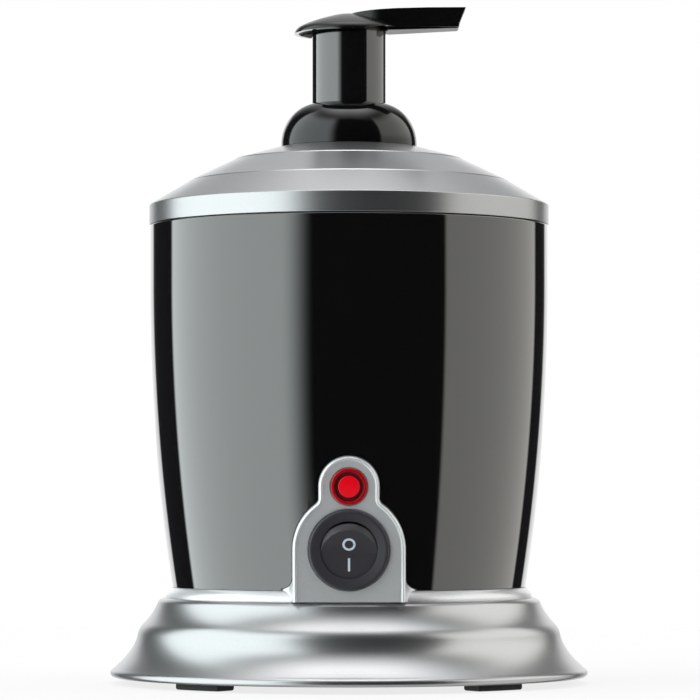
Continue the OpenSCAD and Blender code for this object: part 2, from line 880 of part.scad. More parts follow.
module switch_housing() {
    color("dimgray") in_switch() difference() {
        union() {
            translate([0, 0, body_back - pivot_z])
                cylinder(r = body_r, h = -body_back - recess);
            rotate_extrude()
                polygon([
                    [0, -recess - pivot_z], [bezel_r, -recess - pivot_z],
                    [bezel_r, bezel_crest - 0.7 - pivot_z], [bezel_r - 0.9, bezel_crest - pivot_z],
                    [opening_r - 0.05, opening_z - pivot_z], [0, opening_z - pivot_z]]);
        }
        intersection() {
            sphere(r = cavity_r);
            translate([-body_r + 1, -body_r * 2, cavity_floor])
                cube([2 * (body_r - 1), body_r * 4, body_r]);
        }
        translate([-core_room[0] / 2, -core_room[1] / 2, core_room_z])
            cube(core_room);
        translate([-pin_tip - slide_gap, 0, 0])
            rotate([0, 90, 0])
                cylinder(r = pin_r + touch_gap, h = 2 * (pin_tip + slide_gap), $fn = FINE);
        for (y = BLADES)
            translate([-blade_w / 2 - touch_gap, y - blade_t / 2 - shank_gap, body_back - pivot_z - over])
                cube([blade_w + 2 * touch_gap, blade_t + 2 * shank_gap, blade_l]);
    }
}

module switch_rocker() {
    v_rise = tan(rest_tilt);
    span = 2 * rocker_ball_r;
    color("dimgray") in_switch() rotate([rest_tilt, 0, 0]) difference() {
        union() {
            intersection() {
                sphere(r = rocker_ball_r);
                translate([-rocker_half, -span, skirt_level])
                    cube([2 * rocker_half, 2 * span, span]);
                rotate([90, 0, 90])
                    translate([0, 0, -span])
                        linear_extrude(2 * span)
                            polygon([
                                [0, valley_z - pivot_z], [span, valley_z - pivot_z + span * v_rise],
                                [span, 0], [-span, 0],
                                [-span, valley_z - pivot_z + span * v_rise]]);
            }
            translate([-core_x, -core_y, core_z])
                cube([2 * core_x, 2 * core_y, skirt_level + shank_gap - core_z]);
            translate([-pin_tip, 0, 0])
                rotate([0, 90, 0])
                    cylinder(r = pin_r, h = 2 * pin_tip, $fn = FINE);
            translate([0, 0, nub_z])
                cylinder(r = nub_r, h = nub_l, $fn = FINE);
        }
        rocker_mark_shapes();
    }
}

mark_t = 0.2;
mark_y = 3;
mark_r = 1.875;
mark_stroke = 0.64;
mark_l = 3.76;

// the ring and the bar, laid into the two halves of the rocker
module rocker_mark_shapes() {
    for (side = [-1, 1])
        translate([0, 0, valley_z - pivot_z])
            rotate([side * rest_tilt, 0, 0])
                translate([0, side * mark_y, -mark_t])
                    linear_extrude(mark_t)
                        if (side > 0)
                            difference() {
                                circle(r = mark_r, $fn = FINE);
                                circle(r = mark_r - mark_stroke, $fn = FINE);
                            }
                        else
                            square([mark_stroke, mark_l], center = true);
}

module rocker_marks() {
    color("white")
        in_switch()
            rotate([rest_tilt, 0, 0])
                rocker_mark_shapes();
}

module switch_terminals() {
    color("gold")
        in_switch()
            for (y = BLADES)
                translate([-blade_w / 2, y - blade_t / 2, body_back - pivot_z - blade_l])
                    cube([blade_w, blade_t, blade_l + blade_seat]);
}

// ---- lamp ----
lamp_shank_r = 4.1;
lamp_back = -13;
lens_crest = 0.75;
lens_inner_r = 3.1;
lens_groove_r = 4.1;
lens_groove = 0.6;
lens_soft = 0.5;
neon_r = 2;
neon_z = lamp_back + 2.2;
neon_l = -lamp_back - 6;
clip_h = 1.6;
plug_t = 2;
plug_grip = 4.1;

module in_lamp() {
    on_face()
        translate([0, lamp_y, 0])
            children();
}

module lamp_lens() {
    color("red") in_lamp()
        rotate_extrude()
            polygon([
                [0, -1], [neon_r + 1, -1], [neon_r + 1, lamp_back], [lamp_shank_r, lamp_back],
                [lamp_shank_r, -recess], [lens_d / 2, -recess],
                [lens_d / 2, lens_crest - lens_soft], [lens_d / 2 - lens_soft, lens_crest],
                [lens_groove_r + slide_gap, lens_crest], [lens_groove_r, lens_crest - lens_groove],
                [lens_inner_r, lens_crest - lens_groove], [lens_inner_r, lens_crest - touch_gap],
                [0, lens_crest + touch_gap]]);
}

module lamp_clip() {
    clip_out = pod_top_r - pod_wall - 0.4;
    color("black") in_lamp()
        translate([0, 0, -face_t - clip_h])
            difference() {
                cylinder(r = clip_out, h = clip_h - touch_gap, $fn = FINE);
                translate([0, 0, -over])
                    cylinder(r = lamp_shank_r + shank_gap, h = 2 * over + clip_h, $fn = FINE);
            }
}

module neon_lamp() {
    color("orange") in_lamp() {
        translate([0, 0, neon_z])
            cylinder(r = neon_r, h = neon_l, $fn = FINE);
        translate([0, 0, neon_z + neon_l])
            sphere(r = neon_r, $fn = FINE);
    }
}

module lamp_plug() {
    color("black") in_lamp() {
        translate([0, 0, lamp_back - plug_t])
            cylinder(r = lamp_shank_r, h = plug_t - shank_gap, $fn = FINE);
        translate([0, 0, lamp_back - plug_t])
            cylinder(r = neon_r + 1 - touch_gap, h = plug_grip, $fn = FINE);
    }
}

// ---- wires ----
wire_r = 1.1;
wire_sides = 8;
wire_steps = 5;

// a point on the smooth curve through p1 and p2, with p0 and p3 beyond them
function curve(p0, p1, p2, p3, t) =
    0.5 * (2 * p1 + (p2 - p0) * t + (2 * p0 - 5 * p1 + 4 * p2 - p3) * pow(t, 2)
    + (3 * p1 - p0 - 3 * p2 + p3) * pow(t, 3));
function route(p) = [
    for (i = [0 : len(p) - 2])
        for (j = [0 : wire_steps - 1])
            curve(p[max(i - 1, 0)], p[i], p[i + 1], p[min(i + 2, len(p) - 1)], j / wire_steps),
    p[len(p) - 1]
];
function unit(v) = v / norm(v);
// each ring's side vector is the last one with its part along the path taken out
function sides(line, i) =
    let (along = unit(line[min(i + 1, len(line) - 1)] - line[max(i - 1, 0)]),
         last = i == 0 ? [1, 0.13, 0.07] : sides(line, i - 1)[0],
         side = unit(last - (last * along) * along))
    [side, cross(along, side)];
module tube(line, r) {
    count = len(line);
    points = [for (i = [0 : count - 1])
        let (s = sides(line, i))
        for (k = [0 : wire_sides - 1])
            line[i] + r * (cos(k * 360 / wire_sides) * s[0] + sin(k * 360 / wire_sides) * s[1])];
    walls = [for (i = [0 : count - 2])
        for (k = [0 : wire_sides - 1])
            let (a = i * wire_sides + k, b = i * wire_sides + (k + 1) % wire_sides)
            [a, a + wire_sides, b + wire_sides, b]];
    first = [[for (k = [0 : wire_sides - 1]) k]];
    last = [[for (k = [wire_sides - 1 : -1 : 0]) (count - 1) * wire_sides + k]];
    polyhedron(points = points, faces = concat(walls, first, last), convexity = 4);
}

// where a point of the control face lies in the whole machine
function face_point(u, v, w) = [
    u,
    -switch_y - v * sin(face_lean) - w * cos(face_lean),
    switch_z + v * cos(face_lean) - w * sin(face_lean)
];
lead = 5;                                // a wire leaves its terminal straight for this far
blade_end = body_back - blade_l - wire_gap;
pin_end = thermostat_top - thermostat_h - pin_l - wire_gap;
fuse_end = fuse_l / 2 + fuse_lead + wire_gap;
band_end = heater_mid - heater_h / 2 - wire_gap;
function at_blade(y, back) = face_point(0, y, blade_end - back);
function at_block(x, back) = [x, block_y - block_w / 2 - wire_gap - back, pole_z];
function at_pin(x, back) = [x, 0, pin_end - back];
function at_fuse(side, back) = [fuse_x, fuse_y + side * (fuse_end + back), fuse_z];
function at_band(angle, back) =
    [heater_mid_r * cos(angle), heater_mid_r * sin(angle), band_end - back];
HEATER_LEADS = [70, 40];

module wire_live() {
    color("saddlebrown")
        tube(route([
            at_block(POLES[0], 0), at_block(POLES[0], lead), [-8, 4, 16],
            at_blade(BLADES[0], 2 * lead), at_blade(BLADES[0], lead),
            at_blade(BLADES[0], 0)]), wire_r);
}

module wire_switched() {
    color("firebrick")
        tube(route([
            at_blade(BLADES[1], 0), at_blade(BLADES[1], lead), [-12, -20, 50],
            [fuse_x, -32, 60], at_fuse(-1, lead), at_fuse(-1, 0)]), wire_r);
}

module wire_fused() {
    color("firebrick")
        tube(route([
            at_fuse(1, 0), at_fuse(1, lead), [fuse_x + 5, 16, 56],
            [-12, 14, 46], at_pin(PINS[0], 2 * lead), at_pin(PINS[0], lead),
            at_pin(PINS[0], 0)]), wire_r);
}

module wire_heater() {
    color("darkorange")
        tube(route([
            at_pin(PINS[1], 0), at_pin(PINS[1], lead), at_pin(PINS[1], 2 * lead), [12, 20, 50],
            at_band(HEATER_LEADS[0], 4 * lead), at_band(HEATER_LEADS[0], 2 * lead),
            at_band(HEATER_LEADS[0], 0)]), wire_r);
}

module wire_neutral() {
    color("steelblue")
        tube(route([
            at_block(POLES[1], 0), at_block(POLES[1], lead), [24, 14, 22],
            at_band(HEATER_LEADS[1], 6 * lead), at_band(HEATER_LEADS[1], 3 * lead),
            at_band(HEATER_LEADS[1], 0)]), wire_r);
}

// ---- bottle ----
neck_top = lid_top + neck_rise;
bottle_r = well_in - 1;
bottle_z = well_floor_z + touch_gap;
shoulder_z = shelf_z - 7.4;
stop_r = lid_hole_r + 3.5;
stop_t = 2;
stop_z = lid_top - lid_wall - touch_gap - stop_t;

bottle_round = 5;
shoulder_end = stop_z - 5;
shoulder_bend = 0.62;                    // share of the shoulder's height at its middle

module bottle() {
    stations = [
        [bottle_r - bottle_round, bottle_z, 0], [bottle_r, bottle_z + bottle_round, 90],
        [bottle_r, shoulder_z, 90],
        [(bottle_r + neck_r) / 2, shoulder_z + (shoulder_end - shoulder_z) * shoulder_bend, 150],
        [neck_r, shoulder_end, 90]];
    color("gainsboro", 0.6)
        rotate_extrude()
            polygon(concat(
                [[0, bottle_z]], flow(stations, 5),
                [[neck_r, stop_z], [stop_r, stop_z], [stop_r, stop_z + stop_t],
                 [neck_r, stop_z + stop_t], [neck_r, neck_top], [neck_in, neck_top]],
                backwards(flow(inset(stations, bottle_wall), 5)),
                [[0, bottle_z + bottle_wall]]));
}

// ---- pump collar ----
collar_z = lid_top + touch_gap;
collar_top = collar_z + collar_h;
collar_hole = column_d / 2 + turn_gap;
collar_bulge = 0.9;
gasket_t = 1;
cap_flange_t = 1.4;
flange_top = neck_top + gasket_t + cap_flange_t;
collar_ceiling = flange_top + touch_gap;
shell_focus = 9.5;

collar_bevel = 0.4;
collar_lip_w = 1;

module pump_collar() {
    reach = collar_r - shell_focus;
    rise = collar_h - collar_bulge - collar_bevel / 2;
    dome = [for (a = [-4 : 6 : 86])
        [shell_focus + reach * cos(a), collar_z + collar_bulge + rise * sin(a)]];
    kept = [for (p = dome) if (p[0] > collar_hole + collar_lip_w + collar_bevel / 2) p];
    color("black")
        rotate_extrude()
            polygon(concat(
                [[neck_r + turn_gap, collar_z]],
                [[collar_r - collar_bevel, collar_z]],
                kept,
                [[collar_hole + collar_lip_w, collar_top], [collar_hole, collar_top - collar_bevel],
                 [collar_hole, collar_ceiling],
                 [neck_r + turn_gap, collar_ceiling]]));
}

// ---- pump ----
spring_wire = 0.45;
spring_turns = 5;
spring_solid = 2 * spring_wire * spring_turns + 0.2;
cylinder_r = cylinder_d / 2;
cylinder_in = cylinder_r - 1.1;
floor_t = 1.2;
piston_z = neck_top - 9;                 // the air piston's lower edge at rest
cylinder_z = piston_z - stroke - 0.8 - floor_t;
liquid_r = 7;
liquid_in = 5.8;
stem_foot = cylinder_z + floor_t - 8;
ledge_rise = 2.5;                        // the spring's ledge over the liquid chamber's floor
liquid_z = stem_foot - stroke - spring_solid - ledge_rise;
socket_l = 12;
dip_r = dip_d / 2;
ball_r = 2.2;
throat_r = 1.5;
chamber_r = 3;
throat_z = liquid_z - 3;
ball_seat_gap = 0.05;
ball_z = throat_z + 1.2 - throat_r + (ball_r + ball_seat_gap) * sqrt(2);
ledge_z = liquid_z + ledge_rise;

module neck_gasket() {
    color("lightgray")
        translate([0, 0, neck_top])
            difference() {
                cylinder(r = neck_r - 0.1, h = gasket_t);
                translate([0, 0, -over])
                    cylinder(r = neck_in, h = gasket_t + 2 * over);
            }
}

socket_r_out = dip_r + 1.4;
socket_top = liquid_z - 4;
throat_half = 1;
seat_z = throat_z + throat_half + 0.2;   // the ball's cone starts here

module pump_housing() {
    color("whitesmoke")
        rotate_extrude()
            polygon([
                [neck_r - touch_gap, flange_top], [neck_r - touch_gap, neck_top + gasket_t],
                [cylinder_r, neck_top + gasket_t], [cylinder_r, cylinder_z],
                [liquid_r, cylinder_z], [liquid_r, liquid_z], [socket_r_out, socket_top],
                [socket_r_out, socket_top - socket_l], [dip_r + shank_gap, socket_top - socket_l],
                [dip_r + shank_gap, throat_z - throat_half], [throat_r, throat_z - throat_half],
                [throat_r, seat_z], [chamber_r, seat_z + chamber_r - throat_r],
                [chamber_r, ledge_z], [liquid_in, ledge_z], [liquid_in, cylinder_z + floor_t],
                [cylinder_in, cylinder_z + floor_t], [cylinder_in, flange_top]]);
}

dip_rise = 5;                            // the dip tube ends this far over the well's floor
dip_wall = 0.8;

module dip_tube() {
    tube_z = well_floor_z + dip_rise;
    tube_l = throat_z - throat_half - touch_gap - tube_z;
    color("white")
        translate([0, 0, tube_z])
            difference() {
                cylinder(r = dip_r, h = tube_l, $fn = FINE);
                translate([0, 0, -over])
                    cylinder(r = dip_r - dip_wall, h = tube_l + 2 * over, $fn = FINE);
            }
}

module inlet_ball() {
    color("silver")
        translate([0, 0, ball_z])
            sphere(r = ball_r, $fn = FINE);
}

piston_h = 6;
stem_r = 4.2;
stem_top_r = 5;
stem_in = 2.6;
stem_top = piston_z + piston_h + 21;
foot_r = 5.4;
foot_h = 1;
column_r = column_d / 2;
column_in = column_r - 1.4;
column_z = collar_ceiling + 0.2;
socket_r = 6.6;

hub_r = stem_r + 1.6;
seal_w = 0.9;
seal_taper = 0.5;
liquid_piston_h = 5;

module air_piston() {
    web_z = piston_z + piston_h / 2;
    seal_r = cylinder_in - touch_gap;
    top_z = piston_z + piston_h;
    color("ivory")
        rotate_extrude()
            polygon([
                [stem_r + shank_gap, piston_z], [hub_r, piston_z], [hub_r, web_z],
                [seal_r - seal_w, web_z], [seal_r - seal_w, piston_z + seal_taper],
                [seal_r, piston_z], [seal_r, top_z], [seal_r - seal_w, top_z - seal_taper],
                [seal_r - seal_w, web_z + floor_t], [hub_r, web_z + floor_t],
                [hub_r, top_z], [stem_r + shank_gap, top_z]]);
}

module liquid_piston() {
    color("dimgray")
        translate([0, 0, stem_foot + foot_h])
            difference() {
                cylinder(r = liquid_in - touch_gap, h = liquid_piston_h);
                translate([0, 0, -over])
                    cylinder(r = stem_r + shank_gap, h = liquid_piston_h + 2 * over);
            }
}

module piston_stem() {
    color("ivory")
        rotate_extrude()
            polygon([
                [stem_in, stem_foot], [foot_r, stem_foot], [foot_r, stem_foot + foot_h],
                [stem_r, stem_foot + foot_h], [stem_r, piston_z + piston_h],
                [stem_top_r, piston_z + piston_h], [stem_top_r, stem_top],
                [stem_in, stem_top]]);
}

mesh_h = 6.4;
mesh_wall = 1.2;
mesh_t = 0.6;
mesh_inset = 0.8;

module mesh_cartridge() {
    color("white")
        translate([0, 0, stem_top]) {
            difference() {
                cylinder(r = stem_top_r, h = mesh_h);
                translate([0, 0, -over])
                    cylinder(r = stem_top_r - mesh_wall, h = mesh_h + 2 * over);
            }
            for (z = [mesh_inset, mesh_h - mesh_inset - mesh_t])
                translate([0, 0, z])
                    cylinder(r = stem_top_r - mesh_wall + 2 * touch_gap, h = mesh_t);
        }
}

spring_mean = liquid_in - 1.2;
spring_rings = 60;

module pump_spring() {
    z0 = ledge_z + spring_wire + shank_gap;
    z1 = stem_foot - spring_wire - shank_gap;
    line = [for (i = [0 : spring_rings])
        let (t = i / spring_rings, a = 360 * spring_turns * t)
        [spring_mean * cos(a), spring_mean * sin(a), z0 + (z1 - z0) * t]];
    color("silver")
        tube(line, spring_wire);
}

// ---- pump head ----
head_z = collar_top + head_rise;
spout_rise = 1.3;                     // the spout's tip stands this far over the cap
spout_root_w = 18;
spout_rim = 1.4;                      // the rim under the spout stands this far over the cap's rim
tip_rim = 1.6;                        // and this far at the tip
rim_start = 4;                        // the rim starts to rise this far from the axis
rim_end = 10.5;
tip_slant = 2.4;
cap_top = head_z + cap_h;
head_top = cap_top + spout_rise;
duct_w = 7.6;                         // inside the column
duct_h = 4.4;
duct_x = socket_r + touch_gap;
duct_low = 0.4;                       // the duct's underside over the cap's rim, at the column
duct_tip_low = 1.45;                  // and at the tip
duct_bore = 2;
duct_bore_z = head_z + 2.9;
duct_tip = spout_reach - 1.8;
duct_wide = column_r + slide_gap;     // the duct fills the spout's width from here on

// a domed cap, smaller by g
module cap_body(g) {
    dome = [for (a = [0 : 7.5 : 90])
        [(cap_r - g) * sqrt(cos(a)), head_z + (cap_h - g) * sin(a)]];
    rotate_extrude()
        polygon(concat([[0, head_z]], dome));
}

// the spout, smaller by g
module spout_body(g) {
    tip = spout_reach - g;
    intersection() {
        translate([0, 0, head_z - over])
            linear_extrude(cap_h + spout_rise + 2 * over)
                polygon([
                    [0, -spout_root_w / 2 + g], [tip, -spout_tip_w / 2 + g],
                    [tip, spout_tip_w / 2 - g], [0, spout_root_w / 2 - g]]);
        rotate([90, 0, 0])
            translate([0, 0, -cap_r])
                linear_extrude(2 * cap_r)
                    polygon([
                        [0, head_z], [tip - tip_slant, head_z],
                        [tip - tip_slant, head_z + tip_rim], [tip, head_top - g],
                        [spout_reach * 0.45, head_top - g - 0.8], [0, cap_top - g]]);
    }
}

// half of the spout's width at a distance x from the axis, less g
function spout_half(x, g) =
    spout_root_w / 2 + (spout_tip_w - spout_root_w) / 2 * x / spout_reach - g;

// an outline from its half on one side of the x axis
function mirrored(half) = concat(half, backwards([for (p = half) [p[0], -p[1]]]));

// what lies under the spout's rim
module under_rim() {
    rotate([90, 0, 0])
        translate([0, 0, -cap_r])
            linear_extrude(2 * cap_r)
                polygon([
                    [rim_start, head_z - over], [rim_start, head_z],
                    [(rim_start + rim_end) / 2, head_z + spout_rim / 3],
                    [rim_end, head_z + spout_rim], [spout_reach + over, head_z + tip_rim],
                    [spout_reach + over, head_z - over]]);
}

module pump_head() {
    color("black") difference() {
        union() {
            difference() {
                union() {
                    cap_body(0);
                    spout_body(0);
                }
                translate([0, 0, -0.01])
                    cap_body(head_wall);
                translate([0, 0, -0.01])
                    spout_body(head_wall);
                under_rim();
            }
            difference() {
                translate([0, 0, column_z])
                    cylinder(r = column_r, h = cap_top - head_wall - touch_gap - column_z);
                translate([0, 0, column_z - over])
                    cylinder(r = column_in, h = cap_top - column_z);
            }
            translate([0, 0, stem_top - 8])
                cylinder(r = socket_r, h = cap_top - head_wall / 2 - stem_top + 8 - 0.3);
        }
        translate([0, 0, stem_top - 8 - over])
            cylinder(r = stem_top_r + slide_gap, h = 8 + mesh_h + slide_gap + over);
        translate([0, 0, stem_top])
            cylinder(r = stem_top_r - 1.5, h = head_z + 4 - stem_top, $fn = FINE);
        translate([0, -duct_w / 2 - slide_gap, head_z])
            cube([column_r + over, duct_w + 2 * slide_gap, duct_h + touch_gap]);
        translate([0, 0, head_z])
            linear_extrude(duct_h + touch_gap)
                polygon(mirrored([
                    for (x = [duct_tip - tip_slant, spout_reach + over])
                        [x, spout_half(x, head_wall)]]));
    }
}

module spout_nozzle() {
    plan = [
        [duct_x, duct_w / 2], [duct_wide, duct_w / 2],
        for (x = [duct_wide + slide_gap, duct_tip]) [x, spout_half(x, head_wall + slide_gap)]];
    color("black") difference() {
        intersection() {
            rotate([90, 0, 0])
                translate([0, 0, -cap_r])
                    linear_extrude(2 * cap_r)
                        polygon([
                            [duct_x, head_z + duct_low], [duct_tip - 1, head_z + duct_tip_low],
                            [duct_tip, head_z + duct_tip_low + 1], [duct_tip, head_z + duct_h],
                            [duct_x, head_z + duct_h]]);
            translate([0, 0, head_z])
                linear_extrude(duct_h + over)
                    polygon(mirrored(plan));
        }
        translate([duct_x - over, 0, duct_bore_z])
            rotate([0, 90, 0])
                cylinder(r = duct_bore / 2, h = spout_reach, $fn = FINE);
    }
}

base_skirt();
base_plate();
base_screws();
barrel_screws();
foot_front_left();
foot_front_right();
foot_rear_left();
foot_rear_right();
cord_gland();
control_fascia();
barrel();
lid();
lid_seal();
heating_well();
well_screws();
heater_band();
heater_clamp();
clamp_screw();
insulation_sleeve();
thermostat();
thermostat_screws();
thermal_fuse();
fuse_clip();
terminal_block();
terminal_screws();
block_screw();
switch_housing();
switch_rocker();
rocker_marks();
switch_terminals();
lamp_lens();
lamp_clip();
neon_lamp();
lamp_plug();
wire_live();
wire_switched();
wire_fused();
wire_heater();
wire_neutral();
bottle();
pump_collar();
neck_gasket();
pump_housing();
dip_tube();
inlet_ball();
air_piston();
liquid_piston();
piston_stem();
mesh_cartridge();
pump_spring();
pump_head();
spout_nozzle();
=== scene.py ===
"""A heated lather machine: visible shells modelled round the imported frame, and a finish for every part."""
import json
import math

import bpy
from mathutils import Matrix, Vector


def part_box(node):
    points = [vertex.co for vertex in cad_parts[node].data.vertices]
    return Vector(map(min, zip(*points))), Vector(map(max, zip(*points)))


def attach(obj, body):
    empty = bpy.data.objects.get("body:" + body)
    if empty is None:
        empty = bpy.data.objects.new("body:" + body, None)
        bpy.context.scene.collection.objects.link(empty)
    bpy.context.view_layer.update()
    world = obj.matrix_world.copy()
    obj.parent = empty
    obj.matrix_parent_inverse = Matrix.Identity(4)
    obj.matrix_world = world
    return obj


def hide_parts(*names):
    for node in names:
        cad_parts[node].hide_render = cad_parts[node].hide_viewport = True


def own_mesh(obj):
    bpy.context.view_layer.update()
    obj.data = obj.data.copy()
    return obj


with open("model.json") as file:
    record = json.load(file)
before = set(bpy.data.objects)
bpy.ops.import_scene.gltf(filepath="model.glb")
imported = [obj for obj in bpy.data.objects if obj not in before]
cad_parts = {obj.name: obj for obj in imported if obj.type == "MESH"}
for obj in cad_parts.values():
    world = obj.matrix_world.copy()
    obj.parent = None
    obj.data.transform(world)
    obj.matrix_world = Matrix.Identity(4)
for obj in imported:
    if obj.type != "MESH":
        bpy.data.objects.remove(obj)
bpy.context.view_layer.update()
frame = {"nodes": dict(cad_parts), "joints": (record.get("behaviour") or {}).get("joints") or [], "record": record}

bl_info = {
    "name": "Heated Lather Machine",
    "version": (1, 0, 0),
    "blender": (4, 5, 0),
    "location": "View3D > Sidebar > Lather",
    "description": "Models the shells, controls and pump head of a heated lather machine and finishes them",
    "category": "Object",
}

MM = 0.001
TURN = 2 * math.pi
UPRIGHT = Matrix.Rotation(math.radians(90), 4, "X")

# how finely shapes are divided: large turned shells, the pump head, the controls, small turned parts, arcs
LATHE_STEPS = 180
HEAD_STEPS = 144
CONTROL_STEPS = 120
SMALL_STEPS = 96
ROUND_STEPS = 6

# points closer than WELD are merged, and a tool reaches OVER past what it cuts
WELD = 2e-6
OVER = 1 * MM
SMOOTH_ANGLE = math.radians(32)

SLOT_OF = {part["node"]: part["material_slot"] for part in frame["record"]["subparts"]}
BODY_OF = {node: body for body, nodes in frame["record"]["behaviour"]["bodies"].items() for node in nodes}
JOINTS = {joint["name"]: joint for joint in frame["joints"]}


def low(node):
    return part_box(node)[0]


def high(node):
    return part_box(node)[1]


# ---- what the frame gives ----
BASE_R = high("base_skirt").x
SKIRT_LOW = low("base_skirt").z
SKIRT_TOP = high("base_skirt").z
BARREL_R = high("barrel").x
LID_LOW = low("lid").z
LID_TOP = high("lid").z
LID_R = high("lid").x
COLLAR_LOW = low("pump_collar").z
COLLAR_TOP = high("pump_collar").z
COLLAR_R = high("pump_collar").x
NECK_R = high("neck_gasket").x
HEAD_LOW = low("pump_head").z
HEAD_TOP = high("pump_head").z
SPOUT_TIP = high("pump_head").x
CAP_R = -low("pump_head").x
GLAND_OUT = high("cord_gland").y
GLAND_IN = low("cord_gland").y
GLAND_Z = (low("cord_gland").z + high("cord_gland").z) / 2
FOOT_OUT = high("base_plate").x - 0.8 * MM
FOOT_T = high("foot_front_left").z

# sizes that pieces share: how far skirt and ring stand out where they meet, the fascia's flare, the
# barrel's lip, and how the switch and the lamp sit in the fascia
RING_SPREAD = 1.9 * MM
FLARE_R = 3.3 * MM
LIP_R = BARREL_R - 3 * MM
SEAT_DEPTH = 0.6 * MM
SWITCH_BODY_R = 10 * MM
LAMP_SHANK_R = 4.1 * MM

# the control face: X across, Y up the face, Z out of it, with the switch at its centre
FACE_LEAN = math.radians(2.6)
PIVOT_DEPTH = 7.1 * MM
PIVOT = Vector(JOINTS["rocker_tilt"]["pos_m"])
PIVOT_FRAME = Matrix.Translation(PIVOT) @ Matrix.Rotation(math.radians(90) + FACE_LEAN, 4, "X")
FACE = PIVOT_FRAME @ Matrix.Translation((0, 0, PIVOT_DEPTH))


def size(label, about, value):
    return bpy.props.FloatProperty(
        name=label, description=about, default=value, min=0.0, precision=5, subtype="DISTANCE", unit="LENGTH")


def colour(label, about, value):
    return bpy.props.FloatVectorProperty(
        name=label, description=about, default=value, min=0.0, max=1.0, size=3, subtype="COLOR")


class LatherSizes(bpy.types.PropertyGroup):
    """Sizes of the modelled shells, in metres."""

    skirt_flare: size("Skirt flare", "How far the skirt spreads past the barrel's foot", 18.5 * MM)
    wall: size("Shell wall", "Wall of the skirt and of the barrel", 2.5 * MM)
    ring_h: size("Ring height", "Height of the collar ring that carries the fascia", 3.2 * MM)
    barrel_upright: size("Upright part", "Upright part of the barrel below its rim", 16.6 * MM)
    barrel_taper: size("Barrel taper", "How much the barrel narrows towards its foot", 7.05 * MM)
    rim_h: size("Rim band", "Height of the lid's rim band", 6.0 * MM)
    tier_1_w: size("Low tier width", "Width of the lid's lowest tier", 12.0 * MM)
    tier_1_rise: size("Low tier rise", "Rise of the lid's lowest tier", 7.1 * MM)
    tier_2_w: size("Middle tier width", "Width of the lid's middle tier", 13.5 * MM)
    tier_2_rise: size("Middle tier rise", "Rise of the lid's middle tier", 6.3 * MM)
    tier_step: size("Tier step", "Small step between two tiers", 0.3 * MM)
    lid_wall: size("Lid wall", "Wall of the lid", 2.4 * MM)
    edge_round: size("Edge rounding", "Radius of the lid's edges", 0.45 * MM)
    pod_r: size("Switch surround", "Radius of the fascia round the switch", 16.2 * MM)
    pod_top_r: size("Lamp surround", "Radius of the fascia round the lamp", 8.74 * MM)
    lamp_rise: size("Lamp rise", "Distance from the switch up to the lamp", 18.1 * MM)
    edge_w: size("Lip width", "Width of the fascia's raised lip", 1.3 * MM)
    edge_h: size("Lip height", "Height of the fascia's raised lip", 0.6 * MM)
    bezel_d: size("Bezel diameter", "Outside diameter of the switch bezel", 23.0 * MM)
    opening_d: size("Switch opening", "Diameter of the opening round the rocker", 16.4 * MM)
    lens_d: size("Lens diameter", "Diameter of the lamp lens", 10.5 * MM)
    column_d: size("Column diameter", "Diameter of the pump column", 22.4 * MM)
    cap_h: size("Cap height", "Height of the pump head's domed cap", 6.2 * MM)
    spout_tip_w: size("Spout tip width", "Width of the spout at its tip", 10.6 * MM)
    spout_root_w: size("Spout root width", "Width of the spout at the pump's axis", 18.0 * MM)
    head_wall: size("Head wall", "Wall of the pump head's shell", 1.3 * MM)
    bore_d: size("Cord bore", "Bore of the cord gland", 6.6 * MM)


class LatherColours(bpy.types.PropertyGroup):
    """Colours of the finishes."""

    fascia: colour("Fascia paint", "Fascia and collar ring", (0.77, 0.78, 0.80))
    silver: colour("Silver paint", "Lid and skirt", (0.43, 0.435, 0.445))
    barrel_black: colour("Barrel black", "Barrel", (0.002, 0.002, 0.0021))
    pump_black: colour("Pump black", "Pump collar and head", (0.003, 0.003, 0.0032))
    switch_black: colour("Switch black", "Bezel and rocker", (0.038, 0.035, 0.043))
    mark_white: colour("Mark white", "Ring and bar on the rocker", (0.62, 0.70, 0.82))
    lamp_red: colour("Lamp red", "Lamp lens", (0.55, 0.0, 0.008))
    floor: colour("Floor", "Floor of the studio", (0.8, 0.8, 0.8))


# ---- outlines ----
def rounded(corners, steps=ROUND_STEPS):
    """A closed outline through (x, y) and (x, y, radius) corners, each radius turned into an arc."""
    outline = []
    for i, corner in enumerate(corners):
        point = Vector(corner[:2])
        radius = corner[2] if len(corner) > 2 else 0
        if not radius:
            outline.append(tuple(point))
            continue
        back = (Vector(corners[i - 1][:2]) - point).normalized()
        on = (Vector(corners[(i + 1) % len(corners)][:2]) - point).normalized()
        half = back.angle(on) / 2
        centre = point + (back + on).normalized() * radius / math.sin(half)
        first = point + back * radius / math.tan(half) - centre
        last = point + on * radius / math.tan(half) - centre
        sweep = first.angle(last)
        for step in range(steps + 1):
            t = step / steps
            outline.append(tuple(
                centre + (first * math.sin((1 - t) * sweep) + last * math.sin(t * sweep)) / math.sin(sweep)))
    return outline


def flow(stations, steps):
    """A smooth curve through (radius, height, heading in degrees) stations."""
    curve = []
    for a, b in zip(stations, stations[1:]):
        reach = math.dist(a[:2], b[:2])
        for step in range(steps):
            t = step / steps
            weights = (2 * t**3 - 3 * t**2 + 1, 3 * t**2 - 2 * t**3, t**3 - 2 * t**2 + t, t**3 - t**2)
            turn = [(math.cos(math.radians(s[2])), math.sin(math.radians(s[2]))) for s in (a, b)]
            curve.append(tuple(
                weights[0] * a[i] + weights[1] * b[i]
                + reach * (weights[2] * turn[0][i] + weights[3] * turn[1][i])
                for i in (0, 1)))
    return curve + [stations[-1][:2]]


def inset(stations, wall):
    """The same stations moved in by a wall."""
    return [(r - wall * math.sin(math.radians(h)), z + wall * math.cos(math.radians(h)), h)
            for r, z, h in stations]


